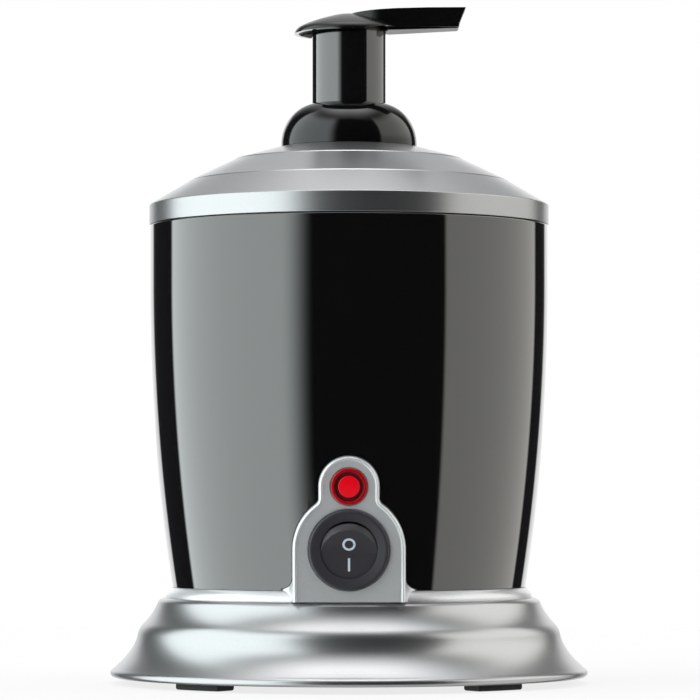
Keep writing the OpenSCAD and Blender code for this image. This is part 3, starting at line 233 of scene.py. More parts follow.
def arc(centre, radius, first, last, steps):
    """Points round a circle from one angle to another, in degrees."""
    angles = [math.radians(first + (last - first) * step / steps) for step in range(steps + 1)]
    return [(centre[0] + radius * math.cos(a), centre[1] + radius * math.sin(a)) for a in angles]


def both_sides(half):
    """Half of a plan and its mirror image across the X axis, as one outline."""
    return [(x, -y) for x, y in half] + half[::-1]


# ---- modelling ----
def deselect():
    bpy.ops.object.select_all(action="DESELECT")


def take(piece):
    """Selects one piece alone and makes it active."""
    deselect()
    piece.select_set(True)
    bpy.context.view_layer.objects.active = piece


def edit(piece):
    """Opens one piece for editing with all of it selected."""
    take(piece)
    bpy.ops.object.mode_set(mode="EDIT")
    bpy.ops.mesh.select_all(action="SELECT")


def leave():
    bpy.ops.object.mode_set(mode="OBJECT")


def weld():
    """Merges the doubles of what is being edited."""
    bpy.ops.mesh.select_all(action="SELECT")
    bpy.ops.mesh.remove_doubles(threshold=WELD)


def face_out():
    """Turns the faces of what is being edited outwards."""
    bpy.ops.mesh.select_all(action="SELECT")
    bpy.ops.mesh.normals_make_consistent(inside=False)


def named(name):
    """Names the primitive just added, and its mesh."""
    piece = bpy.context.active_object
    piece.name = name
    piece.data.name = name
    return piece


def turned(name, outline, angle=TURN, steps=LATHE_STEPS):
    """A closed outline of (radius, height) points, drawn by extruding one point and spun about the Z axis."""
    deselect()
    bpy.ops.mesh.primitive_circle_add(vertices=3, radius=MM)
    piece = named(name)
    edit(piece)
    bpy.ops.mesh.merge(type="CENTER")
    at = (0, 0)
    for i, point in enumerate(outline + outline[:1]):
        move = {"value": (point[0] - at[0], 0, point[1] - at[1])}
        if i == 0:
            bpy.ops.transform.translate(**move)
        else:
            bpy.ops.mesh.extrude_region_move(TRANSFORM_OT_translate=move)
        at = point
    weld()
    if angle < TURN:
        bpy.ops.mesh.edge_face_add()
        bpy.ops.mesh.select_all(action="SELECT")
    bpy.ops.mesh.spin(steps=steps, angle=angle, center=(0, 0, 0), axis=(0, 0, 1))
    weld()
    bpy.ops.mesh.delete_loose()
    face_out()
    leave()
    return piece


def prism(name, outline, bottom, top):
    """A flat outline of (x, y) points, raised from one level to another."""
    deselect()
    bpy.ops.mesh.primitive_circle_add(vertices=len(outline), radius=MM, fill_type="NGON")
    piece = named(name)
    for vertex, point in zip(piece.data.vertices, outline):
        vertex.co = (point[0], point[1], bottom)
    edit(piece)
    bpy.ops.mesh.extrude_region_move(TRANSFORM_OT_translate={"value": (0, 0, top - bottom)})
    face_out()
    leave()
    return piece


def block(name, corner, opposite, bevel=0.0):
    """A box between two corners, with its edges bevelled."""
    deselect()
    centre = [(a + b) / 2 for a, b in zip(corner, opposite)]
    bpy.ops.mesh.primitive_cube_add(size=1, location=centre)
    piece = named(name)
    edit(piece)
    bpy.ops.transform.resize(value=[abs(b - a) for a, b in zip(corner, opposite)])
    if bevel:
        bpy.ops.mesh.bevel(offset=bevel, segments=3, affect="EDGES")
    leave()
    bpy.ops.object.transform_apply(location=True, rotation=True, scale=True)
    return piece


def settle(piece, place):
    """Moves a piece's mesh to its place, so that its object stays at the origin."""
    take(piece)
    piece.matrix_world = place
    bpy.ops.object.transform_apply(location=True, rotation=True, scale=True)
    return piece


def sideways(name, outline, reach):
    """An outline of (x, z) points, raised as far to the front as to the back."""
    return settle(prism(name, outline, -reach, reach), UPRIGHT)


def modify(piece, kind, **settings):
    """Adds a modifier and applies it."""
    take(piece)
    modifier = piece.modifiers.new(kind.lower(), kind)
    for key, value in settings.items():
        setattr(modifier, key, value)
    bpy.ops.object.modifier_apply(modifier=modifier.name)
    return piece


def soften(piece, width, segments, angle):
    """Rounds the edges that turn by more than an angle in degrees."""
    return modify(piece, "BEVEL", width=width, segments=segments, limit_method="ANGLE",
                  angle_limit=math.radians(angle))


def combine(piece, other, operation):
    """Cuts, joins or crosses a piece with another one, which is used up."""
    modify(piece, "BOOLEAN", operation=operation, object=other, solver="EXACT")
    bpy.data.objects.remove(other)
    return piece


def cut(piece, *cutters):
    """Takes other pieces away from a piece."""
    for cutter in cutters:
        combine(piece, cutter, "DIFFERENCE")
    return piece


def join(piece, *others):
    """Makes a piece and others one closed shape."""
    for other in others:
        combine(piece, other, "UNION")
    return piece


def tidy(piece):
    """Merges what a cut left double and drops faces without area."""
    edit(piece)
    weld()
    bpy.ops.mesh.dissolve_degenerate(threshold=WELD)
    leave()
    return piece


def smooth(piece, angle=SMOOTH_ANGLE):
    """Smooth shading over gentle angles, with flat faces kept flat."""
    take(piece)
    bpy.ops.object.shade_smooth_by_angle(angle=angle)
    return modify(piece, "WEIGHTED_NORMAL", keep_sharp=True, weight=90)


def fit(piece, node, finish=None):
    """Gives a piece its finish, the node's slot unless named, and lets it stand for the node on its body."""
    piece.data.materials.clear()
    piece.data.materials.append(FINISHES[finish or SLOT_OF[node]])
    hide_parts(node)
    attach(piece, BODY_OF[node])
    return piece


# ---- finishes ----
# filled by the finishes step, by slot or by the finish's own name
FINISHES = {}


def principled(material):
    return material.node_tree.nodes["Principled BSDF"]


def shader_of(name, base, roughness, **sockets):
    """A new material with its uniform values on the shader's own sockets."""
    material = bpy.data.materials.new(name)
    material.use_nodes = True
    shader = principled(material)
    shader.inputs["Base Color"].default_value = (*base, 1)
    shader.inputs["Roughness"].default_value = roughness
    for socket, value in sockets.items():
        shader.inputs[socket.replace("_", " ").title().replace("Ior", "IOR")].default_value = value
    return material


def add(material, kind, **settings):
    """A new node of a material, with its sockets and settings."""
    node = material.node_tree.nodes.new("ShaderNode" + kind)
    for key, value in settings.items():
        if key in node.inputs:
            node.inputs[key].default_value = value
        else:
            setattr(node, key, value)
    return node


def wire(material, source, target):
    """Links one socket of a material to another."""
    material.node_tree.links.new(source, target)


def places(material, stretch=(1, 1, 1)):
    """Object coordinates, stretched."""
    coordinates = add(material, "TexCoord")
    mapping = add(material, "Mapping", Scale=stretch)
    wire(material, coordinates.outputs["Object"], mapping.inputs["Vector"])
    return mapping.outputs["Vector"]


def noise(material, vector, scale, detail=2.0, rough=0.5):
    """The factor of a noise texture."""
    texture = add(material, "TexNoise", Scale=scale, Detail=detail, Roughness=rough)
    wire(material, vector, texture.inputs["Vector"])
    return texture.outputs["Fac"]


def colours_of(sockets):
    """Those of a Mix node's sockets that carry a colour."""
    return [socket for socket in sockets if socket.type == "RGBA"]


def tinted(material, factor, dark, light):
    """Colours the base between two shades of a factor."""
    mix = add(material, "Mix", data_type="RGBA")
    colour_a, colour_b = colours_of(mix.inputs)
    colour_a.default_value = (*dark, 1)
    colour_b.default_value = (*light, 1)
    wire(material, factor, mix.inputs["Factor"])
    wire(material, colours_of(mix.outputs)[0], principled(material).inputs["Base Color"])


def ranged(material, factor, lowest, highest, socket):
    """Drives one shader socket between two values of a factor."""
    spread = add(material, "MapRange")
    spread.inputs["To Min"].default_value = lowest
    spread.inputs["To Max"].default_value = highest
    wire(material, factor, spread.inputs["Value"])
    wire(material, spread.outputs["Result"], principled(material).inputs[socket])


def relief(material, height, distance, strength=1.0):
    """Bumps the surface by a factor, over a distance."""
    bump = add(material, "Bump", Strength=strength, Distance=distance)
    wire(material, height, bump.inputs["Height"])
    wire(material, bump.outputs["Normal"], principled(material).inputs["Normal"])


def shade(base, share):
    """A colour made lighter or darker."""
    return tuple(min(1.0, channel * share) for channel in base)


def moulded(name, base, roughness, grain=2500, depth=0.01, vary=0.06, spread=0.06, **sockets):
    """Moulded plastic or rubber: a fine grain in the surface and slow changes of colour and gloss."""
    material = shader_of(name, base, roughness, **sockets)
    vector = places(material)
    slow = noise(material, vector, 40, 3)
    tinted(material, slow, shade(base, 1 - vary), shade(base, 1 + vary))
    ranged(material, slow, roughness - spread, roughness + spread, "Roughness")
    relief(material, noise(material, vector, grain, 2), depth * MM)
    return material


def brushed(name, base, roughness, stretch, depth=0.004, vary=0.08):
    """Metal with fine marks along one direction and dull patches."""
    material = shader_of(name, base, roughness, metallic=1.0)
    marks = noise(material, places(material, stretch), 1.0, 3)
    slow = noise(material, places(material), 60, 3)
    tinted(material, marks, shade(base, 1 - vary), shade(base, 1 + vary))
    ranged(material, slow, roughness - 0.08, roughness + 0.08, "Roughness")
    relief(material, marks, depth * MM)
    return material


def silver_paint(name, base, metallic, roughness):
    """Satin silver paint: fine bright flakes over a slightly uneven coat."""
    material = shader_of(name, base, roughness, metallic=metallic)
    vector = places(material)
    flakes = noise(material, vector, 3800, 3, 0.65)
    slow = noise(material, vector, 26, 2)
    tinted(material, flakes, shade(base, 0.86), shade(base, 1.14))
    ranged(material, slow, roughness - 0.02, roughness + 0.02, "Roughness")
    relief(material, flakes, 0.006 * MM, 0.6)
    return material


def glossy(name, base, roughness, ior, coat, ripple):
    """Polished black plastic under a clear coat, with a faint ripple and rubbed places."""
    material = shader_of(name, base, roughness, ior=ior, coat_weight=coat, coat_roughness=roughness * 0.6)
    vector = places(material)
    slow = noise(material, vector, 30, 2)
    tinted(material, slow, shade(base, 0.8), shade(base, 1.2))
    ranged(material, noise(material, vector, 90, 4, 0.7), roughness * 0.7, roughness * 1.5, "Roughness")
    relief(material, slow, ripple * MM)
    return material


def rubbed_above(material, level, coat, shine, worn=0.26):
    """Takes the clear coat and some of the shine off above a level, where hands rub."""
    blend = 0.2 * MM
    full_shine = 0.5
    heights = add(material, "SeparateXYZ")
    wire(material, places(material), heights.inputs["Vector"])
    shader = principled(material)
    for socket, below, above in (("Coat Weight", coat, 0.0), ("Specular IOR Level", full_shine, shine),
                                 ("Roughness", 0.0, worn)):
        fade = add(material, "MapRange")
        wire(material, heights.outputs["Z"], fade.inputs["Value"])
        fade.inputs["From Min"].default_value = level - blend
        fade.inputs["From Max"].default_value = level + blend
        fade.inputs["To Min"].default_value = below
        fade.inputs["To Max"].default_value = above
        result = fade.outputs["Result"]
        if shader.inputs[socket].links:
            most = add(material, "Math", operation="MAXIMUM")
            wire(material, shader.inputs[socket].links[0].from_socket, most.inputs[0])
            wire(material, result, most.inputs[1])
            result = most.outputs["Value"]
        wire(material, result, shader.inputs[socket])
    return material


def felt(name, base):
    """Woven glass felt: two crossed sets of threads."""
    material = shader_of(name, base, 0.9, sheen_weight=0.3)
    vector = places(material)
    weave = add(material, "TexWave", wave_type="BANDS", bands_direction="Z", Scale=700, Distortion=2.0)
    wire(material, vector, weave.inputs["Vector"])
    cross = add(material, "TexWave", wave_type="BANDS", bands_direction="DIAGONAL", Scale=700, Distortion=2.0)
    wire(material, vector, cross.inputs["Vector"])
    threads = add(material, "Math", operation="MAXIMUM")
    wire(material, weave.outputs["Fac"], threads.inputs[0])
    wire(material, cross.outputs["Fac"], threads.inputs[1])
    tinted(material, threads.outputs["Value"], shade(base, 0.7), base)
    relief(material, threads.outputs["Value"], 0.08 * MM)
    return material


def layered(name, base, roughness):
    """Mica or phenolic: thin layers with specks."""
    material = shader_of(name, base, roughness)
    layers = noise(material, places(material, (60, 60, 1800)), 1.0, 4, 0.7)
    tinted(material, layers, shade(base, 0.65), shade(base, 1.25))
    relief(material, layers, 0.02 * MM)
    return material


def make_finishes(colours):
    """One finish for each material slot of the record, and three more for single pieces."""
    steel = (0.62, 0.62, 0.63)
    rubbed_level = HEAD_TOP - 7.4 * MM
    return {
        "silver_plastic": silver_paint("silver_paint", colours.silver, 0.94, 0.29),
        "fascia_silver": silver_paint("fascia_paint", colours.fascia, 0.45, 0.3),
        "black_gloss": glossy("barrel_gloss", colours.barrel_black, 0.05, 1.75, 1.0, 0.012),
        "pump_black": rubbed_above(glossy("pump_gloss", colours.pump_black, 0.08, 1.75, 1.0, 0.01),
                                   rubbed_level, 1.0, 0.22),
        "collar_black": glossy("collar_gloss", colours.pump_black, 0.1, 1.5, 0.0, 0.01),
        "nozzle_black": moulded("nozzle_black", colours.pump_black, 0.3, 2200, 0.006),
        "black_plastic": moulded("textured_black", (0.02, 0.02, 0.021), 0.5, 1600, 0.03),
        "switch_black": moulded("switch_black", colours.switch_black, 0.42, 3000, 0.008),
        "mark_white": moulded("mark_paint", colours.mark_white, 0.45, 4000, 0.004, 0.03),
        "lamp_red": moulded("lamp_red", colours.lamp_red, 0.16, 900, 0.004, 0.1, 0.04,
                            transmission_weight=0.25, ior=1.49),
        "black_rubber": moulded("black_rubber", (0.018, 0.018, 0.018), 0.75, 1500, 0.04),
        "grey_silicone": moulded("grey_silicone", (0.25, 0.26, 0.27), 0.55, 1800, 0.02),
        "well_aluminium": brushed("turned_aluminium", (0.72, 0.73, 0.74), 0.32, (40, 40, 2600)),
        "zinc_steel": brushed("zinc_steel", steel, 0.34, (1500, 1500, 1500)),
        "spring_steel": brushed("spring_steel", shade(steel, 0.85), 0.26, (200, 200, 3000)),
        "mica": layered("mica_band", (0.42, 0.27, 0.14), 0.4),
        "glass_felt": felt("glass_felt", (0.78, 0.72, 0.58)),
        "phenolic": layered("phenolic", (0.05, 0.028, 0.02), 0.45),
        "fuse_white": moulded("fuse_glaze", (0.78, 0.76, 0.68), 0.25, 1200, 0.004),
        "nylon_white": moulded("nylon_white", (0.78, 0.77, 0.72), 0.5, 1500, 0.02,
                               subsurface_weight=0.1),
        "brass": brushed("brass", (0.72, 0.52, 0.22), 0.3, (2400, 300, 300)),
        "neon_glass": moulded("neon_glass", (0.9, 0.45, 0.3), 0.08, 800, 0.002,
                              transmission_weight=0.8),
        "wire_brown": moulded("wire_brown", (0.16, 0.06, 0.025), 0.45, 900, 0.01),
        "wire_red": moulded("wire_red", (0.42, 0.03, 0.02), 0.45, 900, 0.01),
        "wire_orange": moulded("wire_orange", (0.75, 0.24, 0.03), 0.45, 900, 0.01),
        "wire_blue": moulded("wire_blue", (0.05, 0.16, 0.5), 0.45, 900, 0.01),
        "bottle_plastic": moulded("bottle_plastic", (0.85, 0.86, 0.86), 0.35, 700, 0.01,
                                  transmission_weight=0.5),
        "pump_white": moulded("pump_white", (0.8, 0.8, 0.78), 0.35, 1500, 0.008,
                              subsurface_weight=0.1),
    }


class LATHER_OT_finishes(bpy.types.Operator):
    """Makes every finish and puts one on each carried-over part"""

    bl_idname = "lather.finishes"
    bl_label = "Finishes"

    def execute(self, context):
        FINISHES.update(make_finishes(context.scene.lather_colours))
        for node, slot in SLOT_OF.items():
            for holder in frame["nodes"][node].material_slots:
                holder.material = FINISHES[slot]
        return {"FINISHED"}


# ---- stage ----
# the camera in metres and its lens in millimetres, then the picture's size, rows and columns in pixels
CAMERA_DISTANCE = 1.133
CAMERA_HEIGHT = 0.0554
CAMERA_LENS = 194.2
PICTURE = 700
HORIZON_ROW = 497.8
AXIS_COLUMN = 349

WHITE = (1.0, 1.0, 1.0)
DARK_ROOM = (0.02, 0.02, 0.022)
# each light of the studio: its turn to the left of the camera side and its elevation, in degrees, as
# (start, full, full, end), then its brightness and colour
STUDIO = {
    "left_softbox": ((20, 40, 120, 123), (-60, -40, 44, 64), 2.3, (0.93, 1.0, 0.99)),
    "right_softbox": ((-135, -132, -58, -55), (-60, -40, 40, 62), 1.0, (1.0, 0.99, 0.94)),
    "right_upper": ((-135, -132, -58, -55), (4, 20, 40, 62), 0.65, (1.0, 0.99, 0.94)),
    "backdrop": ((150, 154, 206, 210), (-30, -20, 16, 24), 1.0, WHITE),
}
# the light along the arc over the top: degrees from the camera's horizon, and brightness
OVERHEAD = (
    (0, 0), (55, 0), (70, 1.2), (90, 3.4), (108, 2.8), (120, 1.2), (134, 0.75), (148, 0.75), (165, 0.6),
    (180, 0.2),
)
OVERHEAD_FULL = max(brightness for degrees, brightness in OVERHEAD)
# how far to the sides that arc fades out and is full, as shares of a unit direction
OVERHEAD_SIDES = (0.6, 0.1)
# the light that comes back from below, and between which elevations in degrees it comes in
TABLE_LIGHT = 0.75
TABLE_RISE = (-38, -60)
FLOOR_R = 0.5
# how much of the floor's look to the camera is plain white
FLOOR_WHITE = 0.8


class LATHER_OT_stage(bpy.types.Operator):
    """Adds the camera, the floor and the studio's light"""

    bl_idname = "lather.stage"
    bl_label = "Stage"

    def execute(self, context):
        self.camera(context)
        self.floor(context.scene.lather_colours.floor)
        self.studio(context.scene)
        return {"FINISHED"}

    def camera(self, context):
        deselect()
        bpy.ops.object.camera_add(
            location=(0, -CAMERA_DISTANCE, CAMERA_HEIGHT), rotation=(math.radians(90), 0, 0))
        camera = context.active_object
        camera.name = "photo_camera"
        camera.data.lens = CAMERA_LENS
        camera.data.shift_x = (PICTURE / 2 - AXIS_COLUMN) / PICTURE
        camera.data.shift_y = (HORIZON_ROW - PICTURE / 2) / PICTURE
        camera.data.clip_start = 10 * MM
        context.scene.camera = camera

    def floor(self, base):
        deselect()
        bpy.ops.mesh.primitive_circle_add(vertices=64, radius=FLOOR_R, fill_type="NGON")
        floor = named("studio_floor")
        material = shader_of("floor_paper", base, 0.8)
        path = add(material, "LightPath")
        seen = add(material, "Math", operation="MULTIPLY")
        seen.inputs[1].default_value = FLOOR_WHITE
        wire(material, path.outputs["Is Camera Ray"], seen.inputs[0])
        shader = principled(material).outputs["BSDF"]
        layers = ((seen.outputs["Value"], "Emission"), (path.outputs["Is Glossy Ray"], "BsdfTransparent"))
        for share, kind in layers:
            other = add(material, kind)
            mix = add(material, "MixShader")
            wire(material, share, mix.inputs["Fac"])
            wire(material, shader, mix.inputs[1])
            wire(material, other.outputs[0], mix.inputs[2])
            shader = mix.outputs["Shader"]
        wire(material, shader, material.node_tree.nodes["Material Output"].inputs["Surface"])
        floor.data.materials.append(material)

    def studio(self, scene):
        scene.view_settings.view_transform = "Standard"
        world = bpy.data.worlds.new("studio")
        scene.world = world
        world.use_nodes = True
        tree = world.node_tree

        def node(kind, *inputs, **settings):
            made = tree.nodes.new("ShaderNode" + kind)
            for key, value in settings.items():
                setattr(made, key, value)
            for socket, value in zip(made.inputs, inputs):
                if isinstance(value, bpy.types.NodeSocket):
                    tree.links.new(value, socket)
                elif value is not None:
                    socket.default_value = value
            return made

        def maths(operation, *inputs):
            return node("Math", *inputs, operation=operation).outputs[0]

        def step(value, start, full):
            made = node("MapRange", value, interpolation_type="SMOOTHSTEP")
            made.inputs["From Min"].default_value = start
            made.inputs["From Max"].default_value = full
            return made.outputs[0]

        def window(value, start, full, fading, end):
            shown = step(value, start, full)
            return maths("MULTIPLY", shown, maths("SUBTRACT", 1.0, step(value, fading, end)))

        direction = node("TexCoord").outputs["Generated"]
        x, y, z = node("SeparateXYZ", direction).outputs
        turn = maths("DEGREES", maths("ARCTAN2", maths("MULTIPLY", x, -1.0), maths("MULTIPLY", y, -1.0)))
        rise = maths("DEGREES", maths("ARCSINE", z))
        wrapped = maths("ADD", turn, maths("MULTIPLY", 360.0, maths("LESS_THAN", turn, 0.0)))
        # along the arc over the top, from the camera's horizon at 0 to the back's at 180
        over_top = maths("DEGREES", maths("ARCTAN2", z, maths("MULTIPLY", y, -1.0)))
        light = node("RGB").outputs[0]
        light.default_value = (*DARK_ROOM, 1)
        for name, (turns, rises, strength, tint) in STUDIO.items():
            across = wrapped if name == "backdrop" else turn
            share = maths("MULTIPLY", window(across, *turns), window(rise, *rises))
            light = self.lit(node, tree, light, maths("MULTIPLY", share, strength), tint)
        ramp = node("ValToRGB", maths("DIVIDE", over_top, 180.0))
        stops = ramp.color_ramp.elements
        while len(stops) < len(OVERHEAD):
            stops.new(0.5)
        for stop, (degrees, brightness) in zip(stops, OVERHEAD):
            stop.position = degrees / 180
            stop.color = (*[brightness / OVERHEAD_FULL] * 3, 1)
        beside = step(maths("ABSOLUTE", x), *OVERHEAD_SIDES)
        overhead = maths("MULTIPLY", maths("MULTIPLY", ramp.outputs["Color"], beside), OVERHEAD_FULL)
        light = self.lit(node, tree, light, overhead, WHITE)
        table = maths("MULTIPLY", step(rise, *TABLE_RISE), TABLE_LIGHT)
        light = self.lit(node, tree, light, table, WHITE)
        path = node("LightPath")
        seen = node("Mix", data_type="RGBA")
        tree.links.new(path.outputs["Is Camera Ray"], seen.inputs["Factor"])
        lighting, shown = colours_of(seen.inputs)
        tree.links.new(light, lighting)
        shown.default_value = (*WHITE, 1)
        tree.links.new(colours_of(seen.outputs)[0], tree.nodes["Background"].inputs["Color"])

    def lit(self, node, tree, light, share, tint):
        """Adds one lobe of tinted light to the light so far."""
        lobe = node("VectorMath", tint, operation="SCALE")
        tree.links.new(share, lobe.inputs["Scale"])
        total = node("VectorMath", light, lobe.outputs["Vector"], operation="ADD")
        return total.outputs["Vector"]


# ---- plinth ----
class LATHER_OT_plinth(bpy.types.Operator):
    """Turns the swept skirt and cuts its cord entry"""

    bl_idname = "lather.plinth"
    bl_label = "Plinth"

    flange_t = 1.6 * MM

    def execute(self, context):
        s = context.scene.lather_sizes
        foot_r = BASE_R - s.skirt_flare
        # the outside from the rim up: rolled edge, sweep, shoulder, upper sweep and seat
        stations = [
            (BASE_R, SKIRT_LOW + s.wall / 2, 90),
            (BASE_R - 1.3 * MM, SKIRT_LOW + 2.8 * MM, 139),
            (BASE_R - 8.2 * MM, SKIRT_LOW + 12.7 * MM, 101),
            (BASE_R - 10 * MM, SKIRT_LOW + 16 * MM, 136),
            (BASE_R - 14.2 * MM, SKIRT_TOP - 1.4 * MM, 112),
            (foot_r + RING_SPREAD, SKIRT_TOP, 180),
        ]
        seat_r = foot_r - 15 * MM
        lip = arc((BASE_R - s.wall / 2, SKIRT_LOW + s.wall / 2), s.wall / 2, -90, -15, ROUND_STEPS)
        outline = (lip + flow(stations, 12) + [(seat_r, SKIRT_TOP), (seat_r, SKIRT_TOP - s.wall)]
                   + flow(inset(stations, s.wall), 12)[::-1])
        skirt = turned("skirt_shell", outline)
        entry = Matrix.Translation((0, 0, GLAND_Z)) @ Matrix.Rotation(math.radians(-90), 4, "X")
        flange_r = (high("cord_gland").x - low("cord_gland").x) / 2
        boss_r = flange_r + 1.6 * MM
        hole_r = flange_r - 1.3 * MM
        face = GLAND_OUT - self.flange_t
        back = GLAND_IN + 1.8 * MM
        seat = turned("entry_seat", rounded([
            (0, face), (boss_r, face, 0.3 * MM), (boss_r, BASE_R), (0, BASE_R)]), steps=SMALL_STEPS)
        hole = turned("entry_hole", [
            (0, GLAND_IN), (hole_r, GLAND_IN), (hole_r, BASE_R), (0, BASE_R)], steps=SMALL_STEPS)
        boss = turned("entry_boss", [(0, back), (boss_r, back), (boss_r, face), (0, face)], steps=SMALL_STEPS)
        for tool in (seat, hole, boss):
            settle(tool, entry)
        join(skirt, boss)
        cut(skirt, seat, hole)
        fit(smooth(tidy(skirt)), "base_skirt")
        self.gland(s, entry, flange_r)
        return {"FINISHED"}

    def gland(self, s, place, flange_r):
        bore = s.bore_d / 2
        groove = flange_r - 1.4 * MM
        inner_face = GLAND_IN + self.flange_t
        outer_face = GLAND_OUT - self.flange_t
        gland = turned("cord_grommet", rounded([
            (bore, GLAND_IN, 0.4 * MM), (flange_r, GLAND_IN, 0.4 * MM), (flange_r, inner_face, 0.2 * MM),
            (groove, inner_face), (groove, outer_face), (flange_r, outer_face, 0.2 * MM),
            (flange_r, GLAND_OUT, 0.7 * MM), (bore, GLAND_OUT, 0.6 * MM)]), steps=SMALL_STEPS)
        settle(gland, place)
        fit(smooth(gland), "cord_gland")


class LATHER_OT_feet(bpy.types.Operator):
    """Spins one curved rubber foot and sets it in four places"""

    bl_idname = "lather.feet"
    bl_label = "Feet"

    def execute(self, context):
        width = 8 * MM
        sweep = math.radians(15)
        inner = FOOT_OUT - width
        outline = rounded([
            (inner, 0, 0.7 * MM), (FOOT_OUT, 0, 0.7 * MM), (FOOT_OUT, FOOT_T), (inner, FOOT_T)], 4)
        for node in ("foot_front_left", "foot_front_right", "foot_rear_left", "foot_rear_right"):
            lo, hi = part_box(node)
            middle = math.atan2(lo.y + hi.y, lo.x + hi.x)
            foot = turned(node + "_pad", outline, sweep, 24)
            heading = foot_heading(foot)
            settle(foot, Matrix.Rotation(middle - heading, 4, "Z"))
            soften(foot, 0.5 * MM, 3, 50)
            fit(smooth(foot), node)
        return {"FINISHED"}


def foot_heading(foot):
    """The turn of a curved piece's middle about the Z axis."""
    middle = sum((v.co for v in foot.data.vertices), Vector()) / len(foot.data.vertices)
    return math.atan2(middle.y, middle.x)


# ---- control fascia ----
def pod_outline(s, grow, flare=0.0):
    """The fascia's outline on the control face, grown all round, with feet that flare onto the ring."""
    fillet = 2 * MM
    foot = SKIRT_TOP - FACE.translation.z - (0 if flare else 4 * MM)
    top_r = s.pod_top_r + grow
    wide_r = s.pod_r + grow
    neck_r = fillet - grow
    neck_x = s.pod_top_r + fillet
    neck_y = math.sqrt((s.pod_r + fillet) ** 2 - neck_x**2)
    meet = math.degrees(math.atan2(neck_y, neck_x))
    half = arc((0, s.lamp_rise), top_r, 90, 0, 24)
    half += arc((neck_x, neck_y), neck_r, 180, 180 + meet, 8)
    half += arc((0, 0), wide_r, meet, 0, 24)[1:]
    if flare:
        half += arc((s.pod_r + flare, foot + s.ring_h + flare), flare - grow, 180, 270, 10)
        half += [(s.pod_r + flare, foot)]
    else:
        half += [(wide_r, foot)]
    return half + [(-x, y) for x, y in half[:0:-1]]


